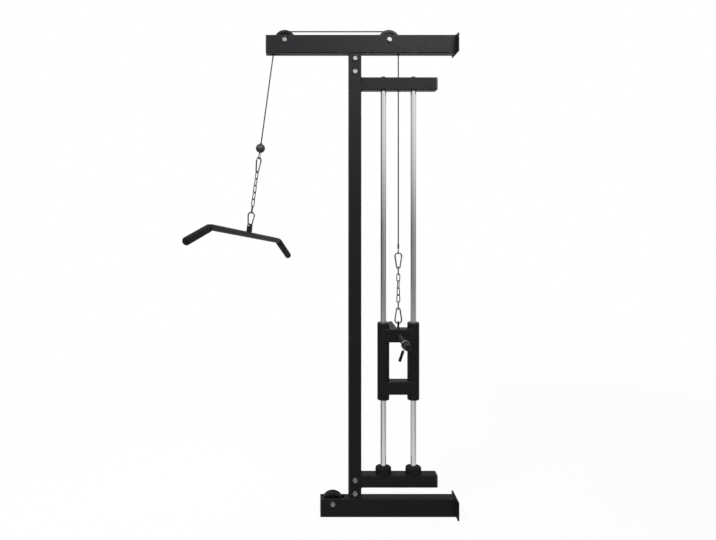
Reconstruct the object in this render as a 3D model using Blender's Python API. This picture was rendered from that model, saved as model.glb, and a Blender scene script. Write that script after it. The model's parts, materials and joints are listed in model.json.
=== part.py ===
"""Lat pulldown tower that bolts to a power rack: every piece a separate object, in metres, +Z up.

The origin is the centre of the lower rack plate's rear face. +X points at the rack, the lat bar hangs
on the -X side, and the floor lies half a base beam below the origin.
"""
import math

import bmesh
import bpy
from mathutils import Matrix, Vector

# Clearances
GAP = 0.0003                  # between pieces that seat on, fit in or are welded to each other
HOLE_CLEARANCE = 0.0005       # round a bolt, a rod or a post in its hole
RUNNING_CLEARANCE = 0.0005    # round a guide rod in its liner

# Beams, upright and brackets
TOWER_HEIGHT = 2.074
BEAM_WIDTH = 0.054
BEAM_HEIGHT = 0.079
BEAM_WALL = 0.003
TOP_BEAM_LENGTH = 0.818
POST_SIZE = 0.054
POST_WALL = 0.0025
UPRIGHT_SETBACK = 0.4395      # from the rack face to the middle of the upright
BASE_OVERHANG = 0.1495        # from the middle of the upright to the base beam's front end
SPIGOT_LENGTH = 0.110
BRACKET_REACH = 0.3285        # from the upright to the end of its cap
UPPER_BRACKET_DROP = 0.1035   # top beam's underside down to the bracket's top
LOWER_BRACKET_RISE = 0.0475   # base beam's top up to the bracket's underside
BEAM_CAP_THICKNESS = 0.0035
BRACKET_CAP_THICKNESS = 0.007
CAP_TONGUE_LENGTH = 0.012
CAP_TONGUE_THICKNESS = 0.003

# Rack plates
PLATE_THICKNESS = 0.006
PLATE_WIDTH = 0.126
PLATE_HOLE_RADIUS = 0.008
PLATE_HOLE_OFFSET = 0.044

# Bolts
BOLT_RADIUS = 0.005
WASHER_RADIUS = 0.0105
WASHER_THICKNESS = 0.002
HEX_ACROSS_FLATS = 0.017
HEAD_HEIGHT = 0.0065
NUT_HEIGHT = 0.0085
THREAD_PROUD = 0.004
JOINT_BOLT_NEAR = 0.024       # first bolt from the end of the upright
JOINT_BOLT_FAR = 0.0805       # second bolt from the end of the upright

# Guide rods
ROD_RADIUS = 0.0125
ROD_SPACING = 0.130
CABLE_SETBACK = 0.2505        # from the rack face to the rear cable, midway between the rods
ROD_BOLT_DEPTH = 0.025
ROD_BOLT_HEAD = 0.0045
BUMPER_RADIUS = 0.034
BUMPER_HEIGHT = 0.030
BUMPER_ROUNDING = 0.004

# Pulleys and cable
PULLEY_RADIUS = 0.047
PULLEY_WIDTH = 0.025
CABLE_TRACK_RADIUS = 0.042    # to the middle of the cable
PULLEY_DROP = 0.022           # beam's top down to the axle
RIM_DEPTH = 0.004             # under the groove's floor
HUB_RADIUS = 0.013
WEB_THICKNESS = 0.012
GROOVE_MOUTH = 0.014
FRONT_PULLEY_INSET = 0.0816   # top beam's front end to the front axle
LOW_PULLEY_INSET = 0.054      # base beam's front end to the low axle
SPACER_RADIUS = 0.009
SLOT_CLEARANCE = 0.004        # round a pulley in its slot
CABLE_RADIUS = 0.0028
CABLE_HOLE_RADIUS = 0.007
LINE_TILT = math.radians(7.8)
LINE_SLOT_FRONT = 0.012       # top beam's front end to the slot that the line swings in
LINE_SLOT_LENGTH = 0.052

# Weight carriage
CARRIAGE_HEIGHT = 0.667       # middle of the sleeves above the floor
SLEEVE_LENGTH = 0.335         # with the liners' flanges
SLEEVE_RADIUS = 0.026
SLEEVE_WALL = 0.003
LINER_FLANGE = 0.004
CROSSBAR_SIZE = 0.057
CROSSBAR_INSET = 0.055        # sleeve's end to the middle of a crossbar
WEIGHT_POST_RADIUS = 0.0125
WEIGHT_POST_REACH = 0.2515    # beyond each face of the crossbar
WEIGHT_POST_CHAMFER = 0.002
NEAR_CLIP_DISTANCE = 0.1865   # crossbar's face to the spring clip
FAR_CLIP_DISTANCE = 0.060
FAR_CLIP_TURN = math.radians(-98.0)
CLIP_WIRE_RADIUS = 0.0025
CLIP_TURNS = 2
CLIP_GRIP_RADIUS = 0.0055
CLIP_GRIP_INNER = 0.027
CLIP_GRIP_OUTER = 0.0715
CLIP_HANDLE_ANGLES = (math.radians(251.0), math.radians(305.0))
CLIP_LEAD = ((0.0060, 0.12), (0.0024, 0.32), (0.0004, 0.60))   # beyond the coil, and radians turned
CLIP_LEAD_END = 0.80          # radians turned where the coil proper starts
CLIP_WIRE_IN_GRIP = 0.004

# Carabiners and chains
HOOK_LENGTH = 0.0725
HOOK_WIDTH = 0.035
HOOK_NARROW_WIDTH = 0.022
HOOK_WIRE_RADIUS = 0.00325
GATE_RADIUS = 0.0029
GATE_PIVOT_STUB = 0.005
GATE_NOSE_STUB = 0.004
CHAIN_LINKS = 6
CHAIN_PITCH = 0.0302
LINK_WIDTH = 0.0175
LINK_WIRE_RADIUS = 0.00225
LINK_SINK = 0.0009            # links bear on each other and are joined there
REAR_LINK_TURNS = (90.0, 4.0, 52.0, -50.0, 8.0, 90.0)       # degrees, repeated along the chain
FRONT_LINK_TURNS = (-37.0, 57.0, -35.0, 50.0, -28.0, 78.0)
FRONT_HOOK_TURN = 53.0

# Cable ends
EYE_WIRE_RADIUS = 0.0035
EYE_HALF_WIDTH = 0.008
EYE_HEIGHT = 0.0285           # crossbar's top to the middle of the eye's crown
LOOP_WIRE_RADIUS = 0.00175
LOOP_HALF_WIDTH = 0.006
LOOP_LENGTH = 0.0235
NECK_RADIUS = 0.00425
NECK_LENGTH = 0.021
SOCKET_DEPTH = 0.008
BALL_RADIUS = 0.020
BALL_DISTANCE = 0.474         # along the line from the front pulley to the ball's middle
BALL_NECK_LENGTH = 0.010

# Lat bar
BAR_RADIUS = 0.0125
BAR_WALL = 0.002
BAR_STRAIGHT = 0.755
BAR_END_LENGTH = 0.191
BAR_END_DROP = math.radians(20.2)
BAR_BEND_RADIUS = 0.060
BAR_TURN = math.radians(-16.7)
BAR_RISE = math.radians(-6.2)
BAR_ROLL = math.radians(5.3)
BAR_DROP = 0.040              # clevis bolt down to the middle of the bar
GRIP_THICKNESS = 0.0028
GRIP_START = 0.014            # bend's corner to the grip's mouth
GRIP_ROUNDING = 0.007
EAR_THICKNESS = 0.004
EAR_WIDTH = 0.018
EAR_RISE = 0.008              # ears above the clevis bolt
CLEVIS_OPENING = 0.011
CLEVIS_BOLT_RADIUS = 0.004
CLEVIS_HEAD_RADIUS = 0.0055
CLEVIS_HEAD_HEIGHT = 0.004

# Mesh fineness
ROUND = 24
SMALL_ROUND = 12
WIRE_ROUND = 8
WIRE_RESOLUTION = 2
LINK_RESOLUTION = 1
BAR_RESOLUTION = 5
ARC_STEPS = 8
LINK_STEPS = 4
BOW_STEPS = 12
CORNER_STEPS = 4
COIL_STEPS = 12
TIP_STEPS = 2
MERGE = 0.000001

# Places that follow from the sizes
BASE_TOP = BEAM_HEIGHT / 2
FLOOR = -BEAM_HEIGHT / 2
TOP_BEAM_TOP = FLOOR + TOWER_HEIGHT
TOP_BEAM_BOTTOM = TOP_BEAM_TOP - BEAM_HEIGHT
UPRIGHT_X = -UPRIGHT_SETBACK
BRACKET_START = UPRIGHT_X + POST_SIZE / 2
BRACKET_END = BRACKET_START + BRACKET_REACH
UPPER_BRACKET_TOP = TOP_BEAM_BOTTOM - UPPER_BRACKET_DROP
UPPER_BRACKET_BOTTOM = UPPER_BRACKET_TOP - POST_SIZE
LOWER_BRACKET_BOTTOM = BASE_TOP + LOWER_BRACKET_RISE
LOWER_BRACKET_TOP = LOWER_BRACKET_BOTTOM + POST_SIZE
CABLE_X = -CABLE_SETBACK
ROD_XS = {"front": CABLE_X - ROD_SPACING / 2, "rear": CABLE_X + ROD_SPACING / 2}
TOP_BEAM_FRONT = -TOP_BEAM_LENGTH - PLATE_THICKNESS
BASE_BEAM_FRONT = UPRIGHT_X - BASE_OVERHANG
TOP_AXLE_Z = TOP_BEAM_TOP - PULLEY_DROP
LOW_AXLE_Z = BASE_TOP - PULLEY_DROP
FRONT_PULLEY_X = TOP_BEAM_FRONT + FRONT_PULLEY_INSET
REAR_PULLEY_X = CABLE_X - CABLE_TRACK_RADIUS
LOW_PULLEY_X = BASE_BEAM_FRONT + LOW_PULLEY_INSET
CARRIAGE_Z = FLOOR + CARRIAGE_HEIGHT
CROSSBAR_OFFSET = SLEEVE_LENGTH / 2 - CROSSBAR_INSET
HOOK_TRAVEL = HOOK_LENGTH - 2 * HOOK_WIRE_RADIUS
HOOK_TO_LINK = HOOK_WIRE_RADIUS + LINK_WIRE_RADIUS + GAP
HOOK_TO_LOOP = HOOK_WIRE_RADIUS + LOOP_WIRE_RADIUS + GAP
CHAIN_SPAN = CHAIN_LINKS * CHAIN_PITCH - LINK_SINK + 2 * LINK_WIRE_RADIUS
LINE_START = Vector((FRONT_PULLEY_X - CABLE_TRACK_RADIUS * math.cos(LINE_TILT), 0,
                     TOP_AXLE_Z + CABLE_TRACK_RADIUS * math.sin(LINE_TILT)))
ALONG_Y = Matrix.Rotation(math.pi / 2, 4, "X")
ALONG_X = Matrix.Rotation(math.pi / 2, 4, "Y")


def clear_scene():
    for item in list(bpy.data.objects):
        bpy.data.objects.remove(item, do_unlink=True)


def material(name, color, roughness, metallic):
    made = bpy.data.materials.new(name)
    made.use_nodes = True
    shader = made.node_tree.nodes["Principled BSDF"]
    shader.inputs["Base Color"].default_value = (*color, 1.0)
    shader.inputs["Roughness"].default_value = roughness
    shader.inputs["Metallic"].default_value = metallic
    return made


def frame_empty(name, location, turn=None, parent=None):
    """An empty on a joint's axis, which the pieces that move with it hang from."""
    holder = bpy.data.objects.new(name, None)
    bpy.context.collection.objects.link(holder)
    holder.parent = parent
    holder.matrix_local = Matrix.Translation(location) @ (turn or Matrix.Identity(4))
    return holder


def add_mesh(name, bm, finish, parent=None, smooth=True, location=(0, 0, 0)):
    mesh = bpy.data.meshes.new(name)
    bm.to_mesh(mesh)
    bm.free()
    if smooth:
        mesh.shade_smooth()
        mesh.set_sharp_from_angle(angle=math.radians(35))
    return add_object(name, mesh, finish, parent, location)


def add_object(name, data, finish, parent=None, location=(0, 0, 0)):
    item = bpy.data.objects.new(name, data)
    bpy.context.collection.objects.link(item)
    item.parent = parent
    item.location = location
    if finish and not data.materials:
        data.materials.append(finish)
    return item


def combine(item, tool_bm, operation="DIFFERENCE"):
    """Cut a shape from a piece, or join one to it, with a Boolean modifier."""
    count = len(item.modifiers)
    tool = add_mesh(f"{item.name}_tool_{count}", tool_bm, None, item, smooth=False)
    tool.hide_render = True
    tool.display_type = "WIRE"
    step = item.modifiers.new(f"shape_{count}", "BOOLEAN")
    step.operation = operation
    step.object = tool


def block(x, y, z):
    """A box between the given pairs of coordinates."""
    bm = bmesh.new()
    bmesh.ops.create_cube(bm, size=1.0)
    middle = Vector(((x[0] + x[1]) / 2, (y[0] + y[1]) / 2, (z[0] + z[1]) / 2))
    bmesh.ops.scale(bm, vec=(x[1] - x[0], y[1] - y[0], z[1] - z[0]), verts=bm.verts)
    bmesh.ops.translate(bm, vec=middle, verts=bm.verts)
    return bm


def rod(radius, length, place, segments=SMALL_ROUND):
    """A cylinder of the given length about the Z axis of the place matrix, centred on it."""
    bm = bmesh.new()
    bmesh.ops.create_cone(bm, cap_ends=True, segments=segments, radius1=radius, radius2=radius,
                          depth=length, matrix=place)
    return bm


def join_shapes(shapes):
    """Put separate shapes that don't touch into one bmesh, to cut or join them together."""
    joined = bmesh.new()
    for shape in shapes:
        mesh = bpy.data.meshes.new("part_of_tool")
        shape.to_mesh(mesh)
        shape.free()
        joined.from_mesh(mesh)
        bpy.data.meshes.remove(mesh)
    return joined


def lathe(profile, segments=ROUND, place=None):
    """Turn (radius, height) points about Z. A profile that stays off the axis closes on itself."""
    bm = bmesh.new()
    points = [bm.verts.new((radius, 0, height)) for radius, height in profile]
    pairs = list(zip(points, points[1:]))
    if profile[0][0] > 0:
        pairs.append((points[-1], points[0]))
    edges = [bm.edges.new(pair) for pair in pairs]
    bmesh.ops.spin(bm, geom=points + edges, axis=(0, 0, 1), cent=(0, 0, 0), steps=segments,
                   angle=math.tau, use_merge=True)
    bmesh.ops.remove_doubles(bm, verts=bm.verts, dist=MERGE)
    bmesh.ops.recalc_face_normals(bm, faces=bm.faces)
    if place:
        bmesh.ops.transform(bm, matrix=place, verts=bm.verts)
    return bm


def arc(centre, radius, start, end, steps):
    """Points (across, up) on an arc between two angles in radians."""
    angles = [start + (end - start) * step / steps for step in range(steps + 1)]
    return [(centre[0] + radius * math.cos(a), centre[1] + radius * math.sin(a)) for a in angles]


def wire_curve(name, points, radius, resolution=WIRE_RESOLUTION, closed=False):
    """A round wire along the points, as a curve with a bevel and filled ends."""
    curve = bpy.data.curves.new(name, "CURVE")
    curve.dimensions = "3D"
    spline = curve.splines.new("POLY")
    spline.points.add(len(points) - 1)
    for knot, place in zip(spline.points, points):
        knot.co = (*place, 1.0)
    spline.use_cyclic_u = closed
    curve.bevel_depth = radius
    curve.bevel_resolution = resolution
    curve.use_fill_caps = not closed
    return curve


def wire_shape(points, radius, resolution=WIRE_RESOLUTION, closed=False):
    """The same wire as a bmesh, for joining to other shapes."""
    curve = wire_curve("wire", points, radius, resolution, closed)
    holder = add_object("wire", curve, None)
    bpy.context.view_layer.update()
    mesh = bpy.data.meshes.new_from_object(holder.evaluated_get(bpy.context.evaluated_depsgraph_get()))
    bpy.data.objects.remove(holder)
    bm = bmesh.new()
    bm.from_mesh(mesh)
    bpy.data.meshes.remove(mesh)
    bmesh.ops.remove_doubles(bm, verts=bm.verts, dist=MERGE)
    bmesh.ops.recalc_face_normals(bm, faces=bm.faces)
    return bm


def box_tube(name, x, y, z, wall, along, finish):
    """A rectangular tube, open at both ends along one axis."""
    tube = add_mesh(name, block(x, y, z), finish, smooth=False)
    inner = [(low + wall, high - wall) for low, high in (x, y, z)]
    low, high = (x, y, z)[along]
    inner[along] = (low - wall, high + wall)
    combine(tube, block(*inner))
    return tube


def axle_place(x, z):
    return Matrix.Translation((x, 0, z)) @ ALONG_Y


def pulley_slot(x, top, wall):
    """The cutter for the slot that a pulley stands up through."""
    half = PULLEY_RADIUS + SLOT_CLEARANCE
    across = PULLEY_WIDTH / 2 + SLOT_CLEARANCE / 2
    return block((x - half, x + half), (-across, across), (top - 2 * wall, top + wall))


def make_beams(steel):
    half = BEAM_WIDTH / 2
    rear = -PLATE_THICKNESS - GAP
    hole = BOLT_RADIUS + HOLE_CLEARANCE
    top = box_tube("top_beam", (TOP_BEAM_FRONT + BEAM_CAP_THICKNESS + GAP, rear), (-half, half),
                   (TOP_BEAM_BOTTOM, TOP_BEAM_TOP), BEAM_WALL, 0, steel)
    slot_front = TOP_BEAM_FRONT + LINE_SLOT_FRONT
    combine(top, join_shapes([
        pulley_slot(FRONT_PULLEY_X, TOP_BEAM_TOP, BEAM_WALL),
        pulley_slot(REAR_PULLEY_X, TOP_BEAM_TOP, BEAM_WALL),
        rod(hole, BEAM_WIDTH + 2 * BEAM_WALL, axle_place(FRONT_PULLEY_X, TOP_AXLE_Z)),
        rod(hole, BEAM_WIDTH + 2 * BEAM_WALL, axle_place(REAR_PULLEY_X, TOP_AXLE_Z)),
        rod(CABLE_HOLE_RADIUS, 4 * BEAM_WALL, Matrix.Translation((CABLE_X, 0, TOP_BEAM_BOTTOM))),
        block((slot_front, slot_front + LINE_SLOT_LENGTH), (-CABLE_HOLE_RADIUS, CABLE_HOLE_RADIUS),
              (TOP_BEAM_BOTTOM - BEAM_WALL, TOP_BEAM_BOTTOM + 2 * BEAM_WALL)),
    ]))
    base = box_tube("base_beam", (BASE_BEAM_FRONT + BEAM_CAP_THICKNESS + GAP, rear), (-half, half),
                    (FLOOR, BASE_TOP), BEAM_WALL, 0, steel)
    combine(base, join_shapes([
        pulley_slot(LOW_PULLEY_X, BASE_TOP, BEAM_WALL),
        rod(hole, BEAM_WIDTH + 2 * BEAM_WALL, axle_place(LOW_PULLEY_X, LOW_AXLE_Z)),
    ]))


def make_rack_plates(steel):
    across = (-PLATE_WIDTH / 2, PLATE_WIDTH / 2)
    for name, middle in (("upper_rack_plate", TOP_BEAM_TOP - BEAM_HEIGHT / 2), ("lower_rack_plate", 0.0)):
        up = (middle - BEAM_HEIGHT / 2, middle + BEAM_HEIGHT / 2)
        plate = add_mesh(name, block((-PLATE_THICKNESS, 0), across, up), steel, smooth=False)
        combine(plate, join_shapes([
            rod(PLATE_HOLE_RADIUS, 4 * PLATE_THICKNESS, Matrix.Translation((0, side, middle)) @ ALONG_X)
            for side in (-PLATE_HOLE_OFFSET, PLATE_HOLE_OFFSET)]))


def joint_bolt_heights():
    return {"upper_joint_bolt_high": TOP_BEAM_BOTTOM - JOINT_BOLT_NEAR,
            "upper_joint_bolt_low": TOP_BEAM_BOTTOM - JOINT_BOLT_FAR,
            "lower_joint_bolt_high": BASE_TOP + JOINT_BOLT_FAR,
            "lower_joint_bolt_low": BASE_TOP + JOINT_BOLT_NEAR}


def make_upright(steel):
    """The upright slides over two stub tubes, one welded under the top beam and one on the base beam."""
    half = POST_SIZE / 2
    across = (UPRIGHT_X - half, UPRIGHT_X + half)
    holes = [axle_place(UPRIGHT_X, height) for height in joint_bolt_heights().values()]
    radius = BOLT_RADIUS + HOLE_CLEARANCE
    upright = box_tube("upright", across, (-half, half), (BASE_TOP + GAP, TOP_BEAM_BOTTOM - GAP),
                       POST_WALL, 2, steel)
    combine(upright, join_shapes([rod(radius, 2 * POST_SIZE, place) for place in holes]))
    inner = half - POST_WALL - GAP
    across = (UPRIGHT_X - inner, UPRIGHT_X + inner)
    spigots = {"upper_spigot": (TOP_BEAM_BOTTOM - SPIGOT_LENGTH, TOP_BEAM_BOTTOM - GAP),
               "lower_spigot": (BASE_TOP + GAP, BASE_TOP + SPIGOT_LENGTH)}
    for name, (low, high) in spigots.items():
        spigot = box_tube(name, across, (-inner, inner), (low, high), POST_WALL, 2, steel)
        inside = [place for place in holes if low < place.translation.z < high]
        combine(spigot, join_shapes([rod(radius, POST_SIZE, place) for place in inside]))


def make_brackets(steel):
    half = POST_SIZE / 2
    hole = ROD_RADIUS + HOLE_CLEARANCE
    ends = (BRACKET_START + GAP, BRACKET_END - BRACKET_CAP_THICKNESS - GAP)
    upper = box_tube("upper_rod_bracket", ends, (-half, half), (UPPER_BRACKET_BOTTOM, UPPER_BRACKET_TOP),
                     POST_WALL, 0, steel)
    cuts = [rod(CABLE_HOLE_RADIUS, 4 * POST_SIZE, Matrix.Translation((CABLE_X, 0, UPPER_BRACKET_TOP)))]
    for x in ROD_XS.values():
        cuts.append(rod(hole, 4 * POST_WALL, Matrix.Translation((x, 0, UPPER_BRACKET_BOTTOM)), ROUND))
        cuts.append(rod(BOLT_RADIUS + HOLE_CLEARANCE, 4 * POST_WALL,
                        Matrix.Translation((x, 0, UPPER_BRACKET_TOP))))
    combine(upper, join_shapes(cuts))
    lower = box_tube("lower_rod_bracket", ends, (-half, half), (LOWER_BRACKET_BOTTOM, LOWER_BRACKET_TOP),
                     POST_WALL, 0, steel)
    combine(lower, join_shapes([
        rod(hole, 4 * POST_WALL, Matrix.Translation((x, 0, LOWER_BRACKET_TOP)), ROUND)
        for x in ROD_XS.values()]))


def make_cap(name, face, inward, width, height, wall, thickness, middle, plastic):
    """A plate that closes a tube's end at x = face, with two tongues along the tube's side walls."""
    half = width / 2
    edges = sorted((face, face + inward * thickness))
    cap = add_mesh(name, block(edges, (-half, half), (middle - height / 2, middle + height / 2)),
                   plastic, smooth=False)
    outer = half - wall - GAP
    reach = sorted((face + inward * thickness / 2, face + inward * (thickness + CAP_TONGUE_LENGTH)))
    rise = height / 2 - 2 * wall
    combine(cap, join_shapes([
        block(reach, sorted((side * outer, side * (outer - CAP_TONGUE_THICKNESS))),
              (middle - rise, middle + rise)) for side in (-1, 1)]), "UNION")


def make_caps(plastic):
    beam = (BEAM_WIDTH, BEAM_HEIGHT, BEAM_WALL, BEAM_CAP_THICKNESS)
    make_cap("top_beam_cap", TOP_BEAM_FRONT, 1, *beam, TOP_BEAM_TOP - BEAM_HEIGHT / 2, plastic)
    make_cap("base_beam_cap", BASE_BEAM_FRONT, 1, *beam, 0.0, plastic)
    bracket = (POST_SIZE, POST_SIZE, POST_WALL, BRACKET_CAP_THICKNESS)
    make_cap("upper_bracket_cap", BRACKET_END, -1, *bracket, UPPER_BRACKET_TOP - POST_SIZE / 2, plastic)
    make_cap("lower_bracket_cap", BRACKET_END, -1, *bracket, LOWER_BRACKET_TOP - POST_SIZE / 2, plastic)


def make_through_bolt(name, x, z, width, zinc, spacer_start=None):
    """A bolt along Y with washers and a nut. Beside a pulley, spacers fill the room to the walls."""
    seat = width / 2 + GAP
    outer = seat + WASHER_THICKNESS
    side = [(BOLT_RADIUS, seat), (WASHER_RADIUS, seat), (WASHER_RADIUS, outer), (BOLT_RADIUS, outer)]
    if spacer_start:
        wall = width / 2 - BEAM_WALL - GAP
        side = [(BOLT_RADIUS, spacer_start), (SPACER_RADIUS, spacer_start),
                (SPACER_RADIUS, wall), (BOLT_RADIUS, wall)] + side
    far_end = outer + NUT_HEIGHT + THREAD_PROUD
    head_end = outer + HEAD_HEIGHT / 2
    profile = [(0, -far_end), (BOLT_RADIUS, -far_end)]
    profile += [(radius, -height) for radius, height in reversed(side)]
    profile += side + [(BOLT_RADIUS, head_end), (0, head_end)]
    bolt = add_mesh(name, lathe(profile, SMALL_ROUND, ALONG_Y), zinc, location=(x, 0, z))
    corner = HEX_ACROSS_FLATS / math.sqrt(3)
    sink = WASHER_THICKNESS / 2
    spans = ((outer - sink, outer + HEAD_HEIGHT), (-outer - NUT_HEIGHT, -outer + sink))
    combine(bolt, join_shapes([
        rod(corner, high - low, ALONG_Y @ Matrix.Translation((0, 0, (low + high) / 2)), 6)
        for low, high in spans]), "UNION")


def make_bolts(zinc):
    for name, height in joint_bolt_heights().items():
        make_through_bolt(name, UPRIGHT_X, height, POST_SIZE, zinc)
    spacer = PULLEY_WIDTH / 2 + GAP
    make_through_bolt("front_pulley_bolt", FRONT_PULLEY_X, TOP_AXLE_Z, BEAM_WIDTH, zinc, spacer)
    make_through_bolt("rear_pulley_bolt", REAR_PULLEY_X, TOP_AXLE_Z, BEAM_WIDTH, zinc, spacer)
    make_through_bolt("low_pulley_bolt", LOW_PULLEY_X, LOW_AXLE_Z, BEAM_WIDTH, zinc, spacer)


def make_rods(chrome, zinc, rubber):
    """Rods stand in the lower bracket and reach up into the upper one, where a bolt holds each."""
    low = LOWER_BRACKET_BOTTOM + POST_WALL + GAP
    high = UPPER_BRACKET_TOP - POST_WALL - GAP
    hole = BOLT_RADIUS + GAP
    corner = HEX_ACROSS_FLATS / math.sqrt(3)
    rounding = BUMPER_ROUNDING
    for end, x in ROD_XS.items():
        add_mesh(f"{end}_guide_rod", lathe([
            (0, low), (ROD_RADIUS, low), (ROD_RADIUS, high), (hole, high),
            (hole, high - ROD_BOLT_DEPTH), (0, high - ROD_BOLT_DEPTH)]), chrome, location=(x, 0, 0))
        seat = UPPER_BRACKET_TOP + GAP
        washer_top = seat + WASHER_THICKNESS
        tip = high - ROD_BOLT_DEPTH + HOLE_CLEARANCE
        bolt = add_mesh(f"{end}_rod_bolt", lathe([
            (0, tip), (BOLT_RADIUS, tip), (BOLT_RADIUS, seat), (WASHER_RADIUS, seat),
            (WASHER_RADIUS, washer_top), (0, washer_top)], SMALL_ROUND), zinc, location=(x, 0, 0))
        head = (washer_top - WASHER_THICKNESS / 2, washer_top + ROD_BOLT_HEAD)
        combine(bolt, rod(corner, head[1] - head[0], Matrix.Translation((0, 0, sum(head) / 2)), 6), "UNION")
        foot = LOWER_BRACKET_TOP + GAP
        bore = ROD_RADIUS + HOLE_CLEARANCE
        outline = [(bore, foot), (BUMPER_RADIUS - rounding, foot), (BUMPER_RADIUS, foot + rounding)]
        outline += arc((BUMPER_RADIUS - rounding, foot + BUMPER_HEIGHT - rounding), rounding,
                       0, math.pi / 2, CORNER_STEPS)
        add_mesh(f"{end}_bumper", lathe(outline + [(bore, foot + BUMPER_HEIGHT)]), rubber,
                 location=(x, 0, 0))


def pulley_profile():
    """Half of the wheel's section, then its mirror: bore, hub, web, rim and a rounded groove."""
    bore = BOLT_RADIUS + GAP
    half = PULLEY_WIDTH / 2
    web = WEB_THICKNESS / 2
    floor = CABLE_TRACK_RADIUS - CABLE_RADIUS - GAP
    rim_inner = floor - RIM_DEPTH
    flank = CABLE_RADIUS + 2 * GAP
    side = [(bore, half), (HUB_RADIUS, half), (HUB_RADIUS, web), (rim_inner, web), (rim_inner, half),
            (PULLEY_RADIUS, half), (PULLEY_RADIUS, GROOVE_MOUTH / 2),
            (CABLE_TRACK_RADIUS, flank), (floor, flank / 2)]
    return side + [(radius, -height) for radius, height in reversed(side)]


def make_pulleys(plastic):
    places = {"front_pulley": (FRONT_PULLEY_X, TOP_AXLE_Z), "rear_pulley": (REAR_PULLEY_X, TOP_AXLE_Z),
              "low_pulley": (LOW_PULLEY_X, LOW_AXLE_Z)}
    for name, (x, z) in places.items():
        add_mesh(name, lathe(pulley_profile(), ROUND, ALONG_Y), plastic, location=(x, 0, z))


def make_top_cable(coated):
    """Cable from the rear pulley's right side over both pulleys to where the lat line leaves."""
    start = GAP / CABLE_TRACK_RADIUS
    points = arc((REAR_PULLEY_X, TOP_AXLE_Z), CABLE_TRACK_RADIUS, start, math.pi / 2, ARC_STEPS)
    points += arc((FRONT_PULLEY_X, TOP_AXLE_Z), CABLE_TRACK_RADIUS, math.pi / 2,
                  math.pi - LINE_TILT - start, ARC_STEPS)
    add_object("cable_top_run", wire_curve("cable_top_run", [(x, 0, z) for x, z in points], CABLE_RADIUS),
               coated)


def make_carriage(steel, liner, frame):
    half = CROSSBAR_SIZE / 2
    body = SLEEVE_LENGTH / 2 - LINER_FLANGE - GAP
    bore = SLEEVE_RADIUS - SLEEVE_WALL
    fit = bore - GAP
    running = ROD_RADIUS + RUNNING_CLEARANCE
    for end, x in ROD_XS.items():
        offset = (x - CABLE_X, 0, 0)
        add_mesh(f"{end}_sleeve", lathe([(bore, -body), (SLEEVE_RADIUS, -body), (SLEEVE_RADIUS, body),
                                         (bore, body)]), steel, frame, location=offset)
        top = SLEEVE_LENGTH / 2
        add_mesh(f"{end}_sleeve_liner", lathe([
            (running, -top), (SLEEVE_RADIUS, -top), (SLEEVE_RADIUS, -top + LINER_FLANGE),
            (fit, -top + LINER_FLANGE), (fit, top - LINER_FLANGE), (SLEEVE_RADIUS, top - LINER_FLANGE),
            (SLEEVE_RADIUS, top), (running, top)]), liner, frame, location=offset)
    for name, z in (("upper_crossbar", CROSSBAR_OFFSET), ("lower_crossbar", -CROSSBAR_OFFSET)):
        across = (-ROD_SPACING / 2, ROD_SPACING / 2)
        bar = box_tube(name, across, (-half, half), (z - half, z + half), POST_WALL, 0, steel)
        bar.parent = frame
        combine(bar, join_shapes([
            rod(SLEEVE_RADIUS + GAP, 2 * CROSSBAR_SIZE, Matrix.Translation((x - CABLE_X, 0, z)), ROUND)
            for x in ROD_XS.values()]))
        if z > 0:
            combine(bar, rod(WEIGHT_POST_RADIUS + HOLE_CLEARANCE, 2 * CROSSBAR_SIZE,
                             Matrix.Translation((0, 0, CROSSBAR_OFFSET)) @ ALONG_Y, ROUND))
    reach = half + WEIGHT_POST_REACH
    edge = WEIGHT_POST_RADIUS - WEIGHT_POST_CHAMFER
    add_mesh("weight_post", lathe([
        (0, -reach), (edge, -reach), (WEIGHT_POST_RADIUS, -reach + WEIGHT_POST_CHAMFER),
        (WEIGHT_POST_RADIUS, reach - WEIGHT_POST_CHAMFER), (edge, reach), (0, reach)], ROUND, ALONG_Y),
        steel, frame, location=(0, 0, CROSSBAR_OFFSET))


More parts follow.
